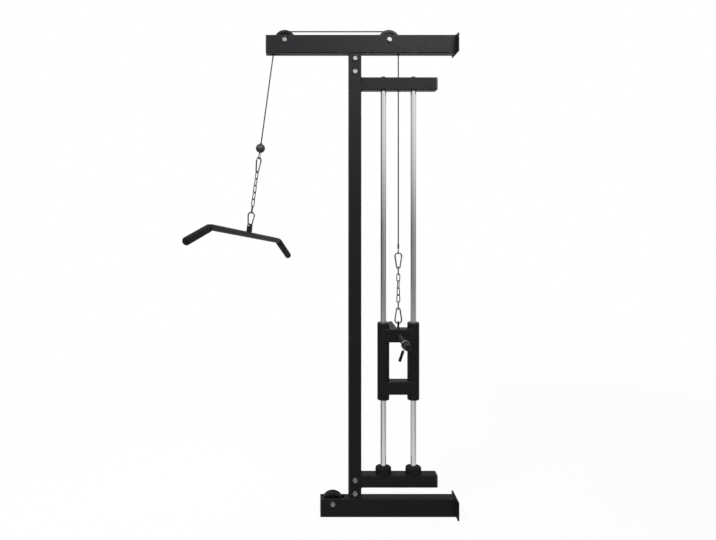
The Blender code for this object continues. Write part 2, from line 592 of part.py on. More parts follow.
def make_spring_clip(name, side, distance, turn, zinc, frame):
    """A wire spring of two turns round the post, with a gripped handle at each end."""
    chord = math.cos(math.pi / COIL_STEPS)
    coil = (WEIGHT_POST_RADIUS + GAP) / chord + CLIP_WIRE_RADIUS
    pitch = 2 * CLIP_WIRE_RADIUS + 2 * GAP
    first, second = CLIP_HANDLE_ANGLES
    lead = [(CLIP_GRIP_OUTER - GAP, 0.0), (CLIP_GRIP_INNER + CLIP_WIRE_IN_GRIP, 0.0)]
    lead += [(coil + beyond, sweep) for beyond, sweep in CLIP_LEAD]
    turned = math.tau * CLIP_TURNS + second - first
    rise = pitch * turned / math.tau

    def point(radius, sweep):
        angle = first + sweep
        height = rise * (min(max(sweep / turned, 0.0), 1.0) - 0.5)
        return (radius * math.cos(angle), radius * math.sin(angle), height)

    start, end = CLIP_LEAD_END, turned - CLIP_LEAD_END
    steps = math.ceil((end - start) * COIL_STEPS / math.tau)
    points = [point(radius, sweep) for radius, sweep in lead]
    points += [point(coil, start + (end - start) * step / steps) for step in range(steps + 1)]
    points += [point(radius, turned - sweep) for radius, sweep in reversed(lead)]
    spot = (0, -side * (CROSSBAR_SIZE / 2 + distance), CROSSBAR_OFFSET)
    holder = frame_empty(f"{name}_axis", spot, ALONG_Y @ Matrix.Rotation(turn, 4, "Z"), frame)
    clip = add_mesh(name, wire_shape(points, CLIP_WIRE_RADIUS), zinc, holder)
    grips = []
    for angle, height in ((first, -rise / 2), (second, rise / 2)):
        out = Matrix.Translation((0, 0, height)) @ Matrix.Rotation(angle, 4, "Z") @ ALONG_X
        grips.append(rod(CLIP_GRIP_RADIUS, CLIP_GRIP_OUTER - CLIP_GRIP_INNER,
                         out @ Matrix.Translation((0, 0, (CLIP_GRIP_OUTER + CLIP_GRIP_INNER) / 2))))
    combine(clip, join_shapes(grips), "UNION")


def hook_geometry():
    """Arc radii, arc centres and the gate side's tangent of a pear-shaped hook, narrow end at z = 0."""
    wide = HOOK_WIDTH / 2 - HOOK_WIRE_RADIUS
    narrow = HOOK_NARROW_WIDTH / 2 - HOOK_WIRE_RADIUS
    top = HOOK_TRAVEL - wide
    slope = math.asin((wide - narrow) / (top - narrow))
    nose = Vector((wide * math.cos(slope), 0, top - wide * math.sin(slope)))
    heel = Vector((narrow * math.cos(slope), 0, narrow - narrow * math.sin(slope)))
    return wide, narrow, top, slope, nose, heel


def make_hook(name, place, steel, gate_name, frame, flipped=False):
    """An open pear-shaped hook and its hinged gate. The place matrix sets the narrow end's wire."""
    wide, narrow, top, slope, nose, heel = hook_geometry()
    along = (nose - heel).normalized()
    start = nose - along * GATE_NOSE_STUB
    end = heel + along * GATE_PIVOT_STUB
    points = [(start.x, start.z)]
    points += arc((0, top), wide, -slope, math.pi + slope, BOW_STEPS)
    points += arc((0, narrow), narrow, math.pi + slope, math.tau - slope, ARC_STEPS)
    points.append((end.x, end.z))
    if flipped:
        place = place @ Matrix.Translation((0, 0, HOOK_TRAVEL)) @ Matrix.Rotation(math.pi, 4, "Y")
    holder = frame_empty(f"{name}_place", place.translation, place.to_3x3().to_4x4(), frame)
    add_object(name, wire_curve(name, [(x, 0, z) for x, z in points], HOOK_WIRE_RADIUS), steel, holder)
    pivot = end + along * (GATE_RADIUS + GAP)
    length = (start - pivot).length - GAP
    ball = arc((0, 0), GATE_RADIUS, -math.pi / 2, 0, TIP_STEPS)
    tip = arc((0, length - GATE_RADIUS), GATE_RADIUS, 0, math.pi / 2, TIP_STEPS)
    tilt = Matrix.Rotation(math.atan2(along.x, along.z), 4, "Y")
    profile = [(0.0, ball[0][1])] + ball[1:] + tip[:-1] + [(0.0, tip[-1][1])]
    gate_axis = frame_empty(f"{gate_name}_axis", pivot, None, holder)
    add_mesh(gate_name, lathe(profile, WIRE_ROUND, tilt), steel, gate_axis)
    return holder, gate_axis


def make_chain(name, top, turns, zinc, frame):
    """Oval links hung on each other below the given height, joined where they bear."""
    bend = LINK_WIDTH / 2 - LINK_WIRE_RADIUS
    inner = CHAIN_PITCH - LINK_SINK
    reach = inner / 2 + LINK_WIRE_RADIUS - bend
    outline = arc((0, reach), bend, 0, math.pi, LINK_STEPS) + arc((0, -reach), bend, math.pi, math.tau,
                                                                  LINK_STEPS)
    shapes = []
    for number in range(CHAIN_LINKS):
        middle = top - (reach + bend) - number * CHAIN_PITCH
        shape = wire_shape([(x, 0, z) for x, z in outline], LINK_WIRE_RADIUS, LINK_RESOLUTION, True)
        place = Matrix.Translation((0, 0, middle)) @ Matrix.Rotation(
            math.radians(turns[number % len(turns)]), 4, "Z")
        bmesh.ops.transform(shape, matrix=place, verts=shape.verts)
        shapes.append(shape)
    chain = add_mesh(name, shapes[0], zinc, frame)
    for shape in shapes[1:]:
        combine(chain, shape, "UNION")


def make_cable_eye(name, neck_length, socket, place, finish, frame):
    """A wire loop under a round neck. The place matrix sets the loop's lowest wire, and +Z is up."""
    bend = LOOP_HALF_WIDTH
    waist = LOOP_WIRE_RADIUS
    sweep = math.asin((bend - waist) / (LOOP_LENGTH - bend))
    points = [(waist, LOOP_LENGTH + LOOP_WIRE_RADIUS)]
    points += arc((0, bend), bend, sweep, -math.pi - sweep, BOW_STEPS)
    points.append((-waist, LOOP_LENGTH + LOOP_WIRE_RADIUS))
    turn = place.to_3x3().to_4x4()
    holder = frame_empty(f"{name}_place", place.translation, turn, frame)
    top = LOOP_LENGTH + neck_length
    neck = [(0, LOOP_LENGTH), (NECK_RADIUS, LOOP_LENGTH), (NECK_RADIUS, top)]
    if socket:
        bore = CABLE_RADIUS + GAP
        neck += [(bore, top), (bore, top - SOCKET_DEPTH), (0, top - SOCKET_DEPTH)]
    else:
        neck.append((0, top))
    eye = add_mesh(name, lathe(neck, SMALL_ROUND), finish, holder)
    combine(eye, wire_shape([(0, y, z) for y, z in points], LOOP_WIRE_RADIUS), "UNION")
    return top


def turned(height, degrees):
    return Matrix.Translation((0, 0, height)) @ Matrix.Rotation(math.radians(degrees), 4, "Z")


def make_carriage_line(zinc, black, coated, frame):
    """Eye, hook, chain, hook and cable end above the carriage, then the cable up to the rear pulley."""
    seat = CROSSBAR_OFFSET + CROSSBAR_SIZE / 2 + GAP
    crown = CROSSBAR_OFFSET + CROSSBAR_SIZE / 2 + EYE_HEIGHT
    bend = EYE_HALF_WIDTH
    eye = [(bend, seat)] + arc((0, crown - bend), bend, 0, math.pi, ARC_STEPS) + [(-bend, seat)]
    add_object("carriage_eye", wire_curve("carriage_eye", [(0, y, z) for y, z in eye], EYE_WIRE_RADIUS, 3),
               black, frame)
    hook = crown - EYE_WIRE_RADIUS - HOOK_WIRE_RADIUS - GAP
    make_hook("carriage_carabiner", turned(hook, 0), zinc, "carriage_carabiner_gate", frame, flipped=True)
    chain_bottom = hook + HOOK_TRAVEL - HOOK_TO_LINK
    chain_top = chain_bottom + CHAIN_SPAN
    make_chain("carriage_chain", chain_top, REAR_LINK_TURNS, zinc, frame)
    hook = chain_top - HOOK_TO_LINK
    make_hook("cable_carabiner", turned(hook, 0), zinc, "cable_carabiner_gate", frame)
    loop = hook + HOOK_TRAVEL - HOOK_TO_LOOP
    neck_top = make_cable_eye("cable_end_fitting", NECK_LENGTH, True, turned(loop, 0), black, frame)
    low = loop + neck_top - SOCKET_DEPTH + GAP
    high = TOP_AXLE_Z - CARRIAGE_Z - GAP
    add_object("cable_rear_run", wire_curve("cable_rear_run", [(0, 0, low), (0, 0, high)], CABLE_RADIUS),
               coated, frame)


def make_lat_line(zinc, black, coated, frame):
    """The cable from the front pulley down to the ball, and the hooks and chain below it."""
    ball_top = -BALL_DISTANCE + BALL_RADIUS - SOCKET_DEPTH
    add_object("cable_front_run", wire_curve("cable_front_run", [(0, 0, -GAP), (0, 0, ball_top + GAP)],
                                             CABLE_RADIUS), coated, frame)
    outline = arc((0, -BALL_DISTANCE), BALL_RADIUS, -math.pi / 2, math.pi / 2, ARC_STEPS)
    outline = [(0.0, outline[0][1])] + outline[1:-1] + [(0.0, outline[-1][1])]
    ball = add_mesh("ball_stopper", lathe(outline, 2 * ARC_STEPS), black, frame)
    combine(ball, join_shapes([
        rod(CABLE_RADIUS + GAP, 2 * SOCKET_DEPTH,
            Matrix.Translation((0, 0, -BALL_DISTANCE + BALL_RADIUS))),
        rod(NECK_RADIUS + GAP, 2 * SOCKET_DEPTH,
            Matrix.Translation((0, 0, -BALL_DISTANCE - BALL_RADIUS)))]))
    loop = -BALL_DISTANCE - BALL_RADIUS + SOCKET_DEPTH - GAP - BALL_NECK_LENGTH - LOOP_LENGTH
    make_cable_eye("ball_eye", BALL_NECK_LENGTH, False, turned(loop, FRONT_HOOK_TURN), zinc, frame)
    hook = loop + HOOK_TO_LOOP - HOOK_TRAVEL
    make_hook("upper_handle_carabiner", turned(hook, FRONT_HOOK_TURN), zinc, "upper_handle_gate", frame)
    chain_top = hook + HOOK_TO_LINK
    make_chain("handle_chain", chain_top, FRONT_LINK_TURNS, zinc, frame)
    chain_bottom = chain_top - CHAIN_SPAN
    hook = chain_bottom + HOOK_TO_LINK - HOOK_TRAVEL
    swivel = frame_empty("handle_swivel_axis", (0, 0, hook), None, frame)
    make_hook("lower_handle_carabiner", Matrix.Rotation(BAR_TURN, 4, "Z"), zinc, "lower_handle_gate", swivel)
    bolt = HOOK_WIRE_RADIUS + CLEVIS_BOLT_RADIUS + GAP
    return frame_empty("bar_axis", (0, 0, bolt), bar_turn(), swivel)


def bar_turn():
    """Rolls the bar, lifts its near end, then turns it round the line, in the line's own frame."""
    upright = Matrix.Rotation(-LINE_TILT, 4, "Y")
    lifted = Matrix.Rotation(BAR_RISE, 4, "X") @ Matrix.Rotation(BAR_ROLL, 4, "Y")
    return upright @ Matrix.Rotation(BAR_TURN, 4, "Z") @ lifted


def bar_path(extra=0.0):
    """The bar's centre line in its own YZ plane, with an arc at each bend."""
    corner = BAR_STRAIGHT / 2
    leg = BAR_BEND_RADIUS * math.tan(BAR_END_DROP / 2)
    out = BAR_END_LENGTH + extra
    tip = (corner + out * math.cos(BAR_END_DROP), -BAR_DROP - out * math.sin(BAR_END_DROP))
    bend = arc((corner - leg, -BAR_DROP - BAR_BEND_RADIUS), BAR_BEND_RADIUS, math.pi / 2,
               math.pi / 2 - BAR_END_DROP, CORNER_STEPS)
    side = bend + [tip]
    return [(0, -y, z) for y, z in reversed(side)] + [(0, y, z) for y, z in side]


def make_lat_bar(steel, rubber, zinc, frame):
    bar = add_mesh("lat_bar", wire_shape(bar_path(), BAR_RADIUS, BAR_RESOLUTION), steel, frame)
    combine(bar, wire_shape(bar_path(BAR_RADIUS), BAR_RADIUS - BAR_WALL, BAR_RESOLUTION))
    bore = BAR_RADIUS + GAP
    outer = bore + GRIP_THICKNESS
    floor = BAR_END_LENGTH + GAP
    end = floor + GRIP_THICKNESS
    shell = [(0, floor), (bore, floor), (bore, GRIP_START), (outer, GRIP_START)]
    shell += arc((outer - GRIP_ROUNDING, end - GRIP_ROUNDING), GRIP_ROUNDING, 0, math.pi / 2, CORNER_STEPS)
    shell.append((0, end))
    for name, side in (("near_grip", -1), ("far_grip", 1)):
        place = Matrix.Translation((0, side * BAR_STRAIGHT / 2, -BAR_DROP))
        place = place @ Matrix.Rotation(-side * (math.pi / 2 + BAR_END_DROP), 4, "X")
        add_mesh(name, lathe(shell, ROUND, place), rubber, frame)
    make_clevis(steel, zinc, frame)


def make_clevis(steel, zinc, frame):
    """Two ears welded on the bar, and the bolt across them that the hook hangs from."""
    half = EAR_WIDTH / 2
    seat = -BAR_DROP + BAR_RADIUS + GAP
    inner = CLEVIS_OPENING / 2
    outer = inner + EAR_THICKNESS
    clevis = add_mesh("bar_clevis", block((-half, half), (-outer, outer), (seat, EAR_RISE)), steel, frame,
                      smooth=False)
    combine(clevis, block((-EAR_WIDTH, EAR_WIDTH), (-inner, inner), (seat + EAR_THICKNESS, EAR_WIDTH)))
    combine(clevis, rod(CLEVIS_BOLT_RADIUS + GAP, 2 * EAR_WIDTH, ALONG_Y))
    face = outer + GAP
    end = face + CLEVIS_HEAD_HEIGHT
    side = [(CLEVIS_BOLT_RADIUS, face), (CLEVIS_HEAD_RADIUS, face), (CLEVIS_HEAD_RADIUS, end), (0, end)]
    profile = [(radius, -height) for radius, height in reversed(side)] + side
    add_mesh("clevis_bolt", lathe(profile, SMALL_ROUND, ALONG_Y), zinc, frame)


def build():
    clear_scene()
    steel = material("black_powder_coat", (0.022, 0.022, 0.026), 0.45, 0.2)
    plastic = material("black_plastic", (0.015, 0.015, 0.016), 0.4, 0.0)
    glossy = material("pulley_plastic", (0.012, 0.012, 0.013), 0.25, 0.0)
    rubber = material("black_rubber", (0.014, 0.014, 0.014), 0.7, 0.0)
    chrome = material("chrome", (0.80, 0.80, 0.82), 0.08, 1.0)
    zinc = material("zinc", (0.50, 0.50, 0.52), 0.3, 1.0)
    coated = material("coated_cable", (0.02, 0.02, 0.02), 0.5, 0.0)
    make_beams(steel)
    make_rack_plates(steel)
    make_upright(steel)
    make_brackets(steel)
    make_caps(plastic)
    make_bolts(zinc)
    make_rods(chrome, zinc, rubber)
    make_pulleys(glossy)
    make_top_cable(coated)
    carriage = frame_empty("carriage_axis", (CABLE_X, 0, CARRIAGE_Z))
    make_carriage(steel, plastic, carriage)
    make_spring_clip("near_spring_clip", 1, NEAR_CLIP_DISTANCE, 0, zinc, carriage)
    make_spring_clip("far_spring_clip", -1, FAR_CLIP_DISTANCE, FAR_CLIP_TURN, zinc, carriage)
    make_carriage_line(zinc, plastic, coated, carriage)
    line = frame_empty("lat_line_axis", LINE_START, Matrix.Rotation(LINE_TILT, 4, "Y"))
    bar_frame = make_lat_line(zinc, plastic, coated, line)
    make_lat_bar(steel, rubber, zinc, bar_frame)


build()
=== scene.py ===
"""The look of the lat pulldown tower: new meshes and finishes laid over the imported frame, in metres."""
import json
from math import acos, asin, atan2, cos, pi, radians, sin, sqrt, tan, tau

import bmesh
import bpy
from mathutils import Matrix, Vector

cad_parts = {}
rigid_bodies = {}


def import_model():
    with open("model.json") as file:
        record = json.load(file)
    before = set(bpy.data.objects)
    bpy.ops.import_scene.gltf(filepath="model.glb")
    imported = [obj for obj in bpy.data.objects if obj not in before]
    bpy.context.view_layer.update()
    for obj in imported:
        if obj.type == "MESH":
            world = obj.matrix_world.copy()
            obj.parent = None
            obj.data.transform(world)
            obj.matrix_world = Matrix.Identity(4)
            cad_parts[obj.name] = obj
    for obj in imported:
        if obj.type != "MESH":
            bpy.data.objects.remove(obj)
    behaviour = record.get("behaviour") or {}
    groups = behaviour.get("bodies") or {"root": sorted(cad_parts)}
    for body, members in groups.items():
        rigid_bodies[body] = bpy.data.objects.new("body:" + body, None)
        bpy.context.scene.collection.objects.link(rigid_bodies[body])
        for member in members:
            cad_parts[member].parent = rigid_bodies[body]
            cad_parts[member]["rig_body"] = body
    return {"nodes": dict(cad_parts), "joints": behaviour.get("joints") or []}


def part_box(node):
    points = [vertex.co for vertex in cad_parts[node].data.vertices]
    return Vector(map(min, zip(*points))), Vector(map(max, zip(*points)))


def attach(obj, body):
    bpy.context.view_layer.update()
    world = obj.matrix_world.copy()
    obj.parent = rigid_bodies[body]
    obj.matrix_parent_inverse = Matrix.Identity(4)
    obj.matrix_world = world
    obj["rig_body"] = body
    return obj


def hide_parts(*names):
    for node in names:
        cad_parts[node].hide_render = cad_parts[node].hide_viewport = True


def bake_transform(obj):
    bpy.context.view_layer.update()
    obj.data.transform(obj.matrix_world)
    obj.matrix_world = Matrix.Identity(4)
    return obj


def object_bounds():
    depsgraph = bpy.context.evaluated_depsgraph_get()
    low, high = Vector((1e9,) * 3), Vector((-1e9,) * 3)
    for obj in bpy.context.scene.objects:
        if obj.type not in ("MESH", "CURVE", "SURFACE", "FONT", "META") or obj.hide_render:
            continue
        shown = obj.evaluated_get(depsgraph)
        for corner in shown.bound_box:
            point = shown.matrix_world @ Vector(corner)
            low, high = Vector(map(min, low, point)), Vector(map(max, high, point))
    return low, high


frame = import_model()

CAD_LOW, CAD_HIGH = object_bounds()

# The camera stands square to the tower's side, a little to the left of the upright and level with
# its upper half. The picture is framed by shifting the lens, so upright lines stay upright.
CAMERA_PLACE = (-0.624, -2.775, 1.2682)
LENS_MM = 32.17
SENSOR_MM = 36.0
SHIFT_ACROSS = 0.0640
SHIFT_UP = -0.0796


def put_in_scene(name, data):
    item = bpy.data.objects.new(name, data)
    bpy.context.collection.objects.link(item)
    return item


camera = put_in_scene("camera", bpy.data.cameras.new("camera"))
camera.location = CAMERA_PLACE
camera.rotation_euler = (pi / 2, 0, 0)
camera.data.lens = LENS_MM
camera.data.sensor_width = SENSOR_MM
camera.data.shift_x = SHIFT_ACROSS
camera.data.shift_y = SHIFT_UP
bpy.context.scene.camera = camera
bpy.context.scene.view_settings.view_transform = "Standard"

# The room is a studio: a plain matt floor that runs into a white backdrop behind the tower, a dim
# room round the camera under bright ceiling panels, and three large soft lamps.
FLOOR_SIZE = 16.0
FLOOR_GREY = 0.62
FLOOR_ROUGHNESS = 0.9
FLOOR_WHITENESS = 0.86         # as the camera sees the floor beside the tower
FLOOR_GLOW = 1.072
FLOOR_IN_METAL = (0.62, 0.12)  # as metal shows it: at the tower's foot, and where it is in shade
FLOOR_FADE = (1.4, 4.5)        # how far from the tower the floor starts to change, and where it is done
PAINTED_SIDE_SHADE = (0.40, 0.95)      # painted shade at both sides of the floor as metal shows it, standing in for black flags, measured from the rods
PAINTED_SHADE_CENTRE = 0.25
PAINTED_SHADE_END = (0.2, 0.8)         # how far behind the tower the painted side shade fades out
ROOM_DIM = 0.34
BACKDROP_EDGE = (0.10, 0.30)   # where the backdrop ends, as the sine of the angle above level
BACKDROP_FALL = 0.75
BACKDROP_SIDE = (0.3, 0.8)     # where the room turns into the backdrop
PANEL_EDGE = (-0.06, 0.16)     # where the ceiling panels begin
LEFT_WALL = (0.55, 0.90)
LEFT_SHADE = 0.35
STRIP_EDGES = (0.47, 0.68)     # a paler strip of wall to the camera's right, that the rods show
STRIP_BLUR = 0.03
STRIP_LIGHT = 0.22
AMBIENT = 0.42
LAMPS = (("key lamp", (-2.5, -2.4, 3.9), (-0.4, 0, 0.7), 1.6, 125, pi),
         ("fill lamp", (0.5, -2.1, 3.3), (-0.35, 0, 2.15), 1.0, 13.5, radians(65)),
         ("back lamp", (-0.6, 2.8, 2.8), (-0.4, 0, 1.2), 1.8, 14, pi))


class Value:
    """A number in a node tree. Arithmetic on it adds Math nodes to that tree."""

    def __init__(self, tree, socket):
        self.tree = tree
        self.socket = socket

    def __add__(self, other):
        return self.tree.math("ADD", self, other)

    def __sub__(self, other):
        return self.tree.math("SUBTRACT", self, other)

    def __rsub__(self, other):
        return self.tree.math("SUBTRACT", other, self)

    def __mul__(self, other):
        return self.tree.math("MULTIPLY", self, other)

    def within(self, low, high):
        """0 below low, 1 above high, and smooth between them."""
        return self.tree.add("MapRange", {"interpolation_type": "SMOOTHSTEP"},
                             {"Value": self, "From Min": low, "From Max": high})

    __radd__ = __add__
    __rmul__ = __mul__


class Tree:
    """The node tree of a material or of the world, written as plain calls."""

    def __init__(self, owner):
        owner.use_nodes = True
        self.nodes = owner.node_tree.nodes
        self.links = owner.node_tree.links

    def feed(self, node, inputs):
        """Give a node's sockets their numbers and colours, or link them to other nodes."""
        for name, value in inputs.items():
            if isinstance(value, Value):
                self.links.new(value.socket, node.inputs[name])
            else:
                node.inputs[name].default_value = value

    def add(self, kind, settings, inputs, output=0):
        """Add one node: its settings first, then its sockets, and hand back one of its outputs."""
        node = self.nodes.new(f"ShaderNode{kind}")
        for name, value in settings.items():
            setattr(node, name, value)
        self.feed(node, inputs)
        return Value(self, node.outputs[output])

    def math(self, operation, *numbers):
        return self.add("Math", {"operation": operation}, dict(enumerate(numbers)))

    def mix(self, amount, first, second):
        """A colour that goes from the first to the second as the amount goes from 0 to 1."""
        return self.add("Mix", {"data_type": "RGBA"}, {0: amount, 6: first, 7: second}, 2)

    def axes(self, vector, names="XYZ"):
        return [self.add("SeparateXYZ", {}, {0: vector}, name) for name in names]

    def seen_by(self):
        """Two numbers: 1 for what the camera sees, and 1 for what metal and glass show of the room."""
        camera_ray, glossy, through = [self.add("LightPath", {}, {}, f"Is {kind} Ray")
                                       for kind in ("Camera", "Glossy", "Transmission")]
        return camera_ray, self.math("MAXIMUM", glossy, through) * (1 - camera_ray)


def as_mesh(name, bm):
    """Turn a shape into a mesh and use it up."""
    mesh = bpy.data.meshes.new(name)
    bm.to_mesh(mesh)
    bm.free()
    return mesh


def floor_sheet():
    bm = bmesh.new()
    bmesh.ops.create_grid(bm, x_segments=1, y_segments=1, size=FLOOR_SIZE / 2)
    bmesh.ops.translate(bm, vec=(0, 0, CAD_LOW.z), verts=bm.verts)
    mesh = as_mesh("floor", bm)
    surface = bpy.data.materials.new("studio floor")
    tree = Tree(surface)
    paint = tree.nodes["Principled BSDF"]
    tree.feed(paint, {"Base Color": (FLOOR_GREY, FLOOR_GREY, FLOOR_GREY, 1),
                      "Roughness": FLOOR_ROUGHNESS, "Specular IOR Level": 0.0})
    camera_ray, in_metal = tree.seen_by()
    spot = tree.add("TexCoord", {}, {}, "Object")
    away = tree.add("VectorMath", {"operation": "LENGTH"}, {0: spot}, "Value").within(*FLOOR_FADE)
    across, back = tree.axes(spot, "XY")
    # Painted shade in the floor as metal shows it: darker at both sides, standing in for black flags, and far
    # out towards the camera.
    side_shade_mask = tree.math("ABSOLUTE", across + PAINTED_SHADE_CENTRE).within(*PAINTED_SIDE_SHADE)
    dim = tree.math("MAXIMUM", side_shade_mask * (1 - back.within(*PAINTED_SHADE_END)), (back * -1).within(*FLOOR_FADE))
    shown = camera_ray * (FLOOR_WHITENESS + away * (1 - FLOOR_WHITENESS))
    mirrored = in_metal * (FLOOR_IN_METAL[0] - dim * (FLOOR_IN_METAL[0] - FLOOR_IN_METAL[1]))
    glow = tree.add("Emission", {}, {"Strength": 1 + (FLOOR_GLOW - 1) * (1 - away)})
    blend = tree.add("MixShader", {}, {"Fac": shown + mirrored, 1: Value(tree, paint.outputs[0]), 2: glow})
    tree.feed(tree.nodes["Material Output"], {"Surface": blend})
    mesh.materials.append(surface)
    item = put_in_scene("floor", mesh)


def studio_world():
    """White to the camera. Metal shows the backdrop, the dim room round the camera and the panels."""
    world = bpy.data.worlds.new("studio")
    bpy.context.scene.world = world
    tree = Tree(world)
    camera_ray, in_metal = tree.seen_by()
    across, away, up = tree.axes(tree.add("TexCoord", {}, {}, "Generated"))
    backdrop = 1 - up.within(*BACKDROP_EDGE) * BACKDROP_FALL
    room = ROOM_DIM + up.within(*PANEL_EDGE) * (1 - ROOM_DIM)
    room = room * (1 - (across * -1).within(*LEFT_WALL) * LEFT_SHADE)
    left, right = STRIP_EDGES
    strip = across.within(left - STRIP_BLUR, left) - across.within(right, right + STRIP_BLUR)
    room = room + strip * STRIP_LIGHT
    behind = away.within(*BACKDROP_SIDE)
    level = backdrop * behind + room * (1 - behind)
    strength = camera_ray + (1 - camera_ray) * level * (AMBIENT + in_metal * (1 - AMBIENT))
    tree.feed(tree.nodes["Background"], {"Color": (1, 1, 1, 1), "Strength": strength})


floor_sheet()
studio_world()
for name, place, aim, size, power, spread in LAMPS:
    lamp = bpy.data.lights.new(name, "AREA")
    lamp.size = size
    lamp.energy = power
    lamp.spread = spread
    item = put_in_scene(name, lamp)
    item.location = place
    item.rotation_euler = (Vector(aim) - Vector(place)).to_track_quat("-Z", "Y").to_euler()

# The top beam is a rectangular steel tube with rolled corners, milled on top for the two pulleys and
# below for the line, drilled for the axles, and powder coated black like the rest of the steelwork.
CORNER_RADIUS = 0.004
CORNER_STEPS = 6
BROKEN_EDGE = 0.0004
BEAM_WALL = 0.003
SLOT_CORNER = 0.008
SLOT_ROOM = 0.004
LINE_SLOT = (0.012, 0.064)     # from the outer face of the beam's cap
LINE_HOLE = 0.007
AXLE_HOLE = 0.0055
AXLE_CUT = 0.082
SHARP = radians(35)
TURNS = {"X": Matrix.Rotation(pi / 2, 4, "Y"), "Y": Matrix.Rotation(pi / 2, 4, "X"),
         "Z": Matrix.Identity(4)}


class Finish(Tree):
    """A material, the record's slot that it belongs to, and the shader values that never vary."""

    def __init__(self, name, slot, constants):
        self.material = bpy.data.materials.new(name)
        super().__init__(self.material)
        self.slot = slot
        self.shader = self.nodes["Principled BSDF"]
        self.feed(self.shader, constants)
        self.place = self.add("TexCoord", {}, {}, "Object")

    def noise(self, scale, detail, place=None):
        return self.add("TexNoise", {}, {"Vector": place or self.place, "Scale": scale, "Detail": detail})

    def stretched(self, scale):
        """Object coordinates scaled apart along X, Y and Z."""
        return self.add("Mapping", {}, {"Vector": self.place, "Scale": scale})

    def mark(self, name, output="Fac"):
        """What a piece's mesh carries under this name, such as how worn its edges are."""
        return self.add("Attribute", {"attribute_name": name}, {}, output)

    def colour(self, amount, first, second, roughness):
        self.feed(self.shader, {"Base Color": self.mix(amount, first, second), "Roughness": roughness})

    def bump(self, height, depth, strength):
        """The surface's relief. It is set last and hands the finish back."""
        inputs = {"Height": height, "Distance": depth, "Strength": strength}
        self.feed(self.shader, {"Normal": self.add("Bump", {}, inputs, "Normal")})
        return self


def powder_coat():
    """Black baked powder: a fine orange peel, faint handling marks, and thinner at rubbed edges."""
    coat = Finish("powder coat", "black_powder_coat", {"Metallic": 0.0, "Specular IOR Level": 0.10})
    peel = coat.noise(520, 3)
    grain = coat.noise(2400, 1)
    patches = coat.noise(7, 4)
    smears = coat.noise(1.0, 5, coat.stretched((60, 60, 14))).within(0.50, 0.75)
    rubbed = coat.mark("worn") * coat.noise(160, 4).within(0.50, 0.72)
    black = coat.mix(patches, (0.0066, 0.0064, 0.0079, 1), (0.0096, 0.0093, 0.0114, 1))
    coat.colour(rubbed * 0.7, black, (0.055, 0.055, 0.058, 1),
                0.40 + patches * 0.08 + smears * 0.07 + grain * 0.05 - rubbed * 0.08)
    return coat.bump(peel * 0.7 + grain * 0.3, 0.00025, 0.20)


def box_blank(low, high):
    """A box between two opposite corners."""
    bm = bmesh.new()
    bmesh.ops.create_cube(bm, size=1.0)
    low, high = Vector(low), Vector(high)
    bmesh.ops.scale(bm, vec=Vector([abs(side) for side in high - low]), verts=bm.verts)
    bmesh.ops.translate(bm, vec=(low + high) / 2, verts=bm.verts)
    return bm


def round_edges(bm, edges, radius, segments):
    bmesh.ops.bevel(bm, geom=edges, offset=radius, affect="EDGES", segments=segments, profile=0.5,
                    material=-1, clamp_overlap=True)


def edges_along(bm, axis):
    number = "XYZ".index(axis)
    return [edge for edge in bm.edges
            if abs((edge.verts[1].co - edge.verts[0].co).normalized()[number]) > 0.99]


def square_tube(low, high, axis, wall):
    """A welded tube: a box with rounded long edges, open ends and a wall."""
    bm = box_blank(low, high)
    round_edges(bm, edges_along(bm, axis), CORNER_RADIUS, CORNER_STEPS)
    bm.normal_update()
    number = "XYZ".index(axis)
    ends = [face for face in bm.faces if abs(face.normal[number]) > 0.99]
    bmesh.ops.delete(bm, geom=ends, context="FACES_ONLY")
    bmesh.ops.solidify(bm, geom=list(bm.faces), thickness=wall)
    bmesh.ops.recalc_face_normals(bm, faces=bm.faces)
    return bm


def cylinder(centre, radius, depth, axis, segments=40):
    """A plain cylinder centred on a point, such as the shape that a drill takes out."""
    bm = bmesh.new()
    bmesh.ops.create_cone(bm, cap_ends=True, segments=segments, radius1=radius, radius2=radius,
                          depth=depth, matrix=Matrix.Translation(centre) @ TURNS[axis])
    return bm


def mill(low, high, corner=SLOT_CORNER):
    """The shape that a milling cutter takes out: a block with its upright edges rounded."""
    bm = box_blank(low, high)
    round_edges(bm, edges_along(bm, "Z"), corner, 6)
    return bm


def carve(bm, tools, operation="DIFFERENCE"):
    """Cut the tool shapes out of a piece, or with INTERSECT keep what they share. All are used up."""
    body, *cutters = [put_in_scene("blank", as_mesh("blank", shape)) for shape in (bm, *tools)]
    for cutter in cutters:
        step = body.modifiers.new("cut", "BOOLEAN")
        step.operation = operation
        step.object = cutter
    bpy.context.view_layer.update()
    result = bmesh.new()
    result.from_mesh(body.evaluated_get(bpy.context.evaluated_depsgraph_get()).to_mesh())
    for holder in (body, *cutters):
        mesh = holder.data
        bpy.data.objects.remove(holder)
        bpy.data.meshes.remove(mesh)
    return result


def break_edges(bm, width=BROKEN_EDGE):
    """Take the sharpness off every edge, as deburring and coating do."""
    bmesh.ops.remove_doubles(bm, verts=bm.verts, dist=0.000001)
    bmesh.ops.dissolve_limit(bm, angle_limit=radians(1), verts=bm.verts, edges=bm.edges)
    sharp = [edge for edge in bm.edges if len(edge.link_faces) == 2 and edge.calc_face_angle() > SHARP]
    round_edges(bm, sharp, width, 2)
    return bm


def mark_worn(bm):
    """Faces that lie square to no axis are the rounded edges, where a coat is rubbed."""
    worn = bm.faces.layers.float.new("worn")
    bm.normal_update()
    for face in bm.faces:
        face[worn] = 1.0 if max(abs(part) for part in face.normal) < 0.995 else 0.0
    return bm


def new_piece(name, bm, finish):
    mesh = as_mesh(name, bm)
    mesh.shade_smooth()
    mesh.set_sharp_from_angle(angle=SHARP)
    mesh.materials.append(finish.material)
    piece = put_in_scene(name, mesh)
    piece.modifiers.new("even shading", "WEIGHTED_NORMAL").keep_sharp = True
    return piece


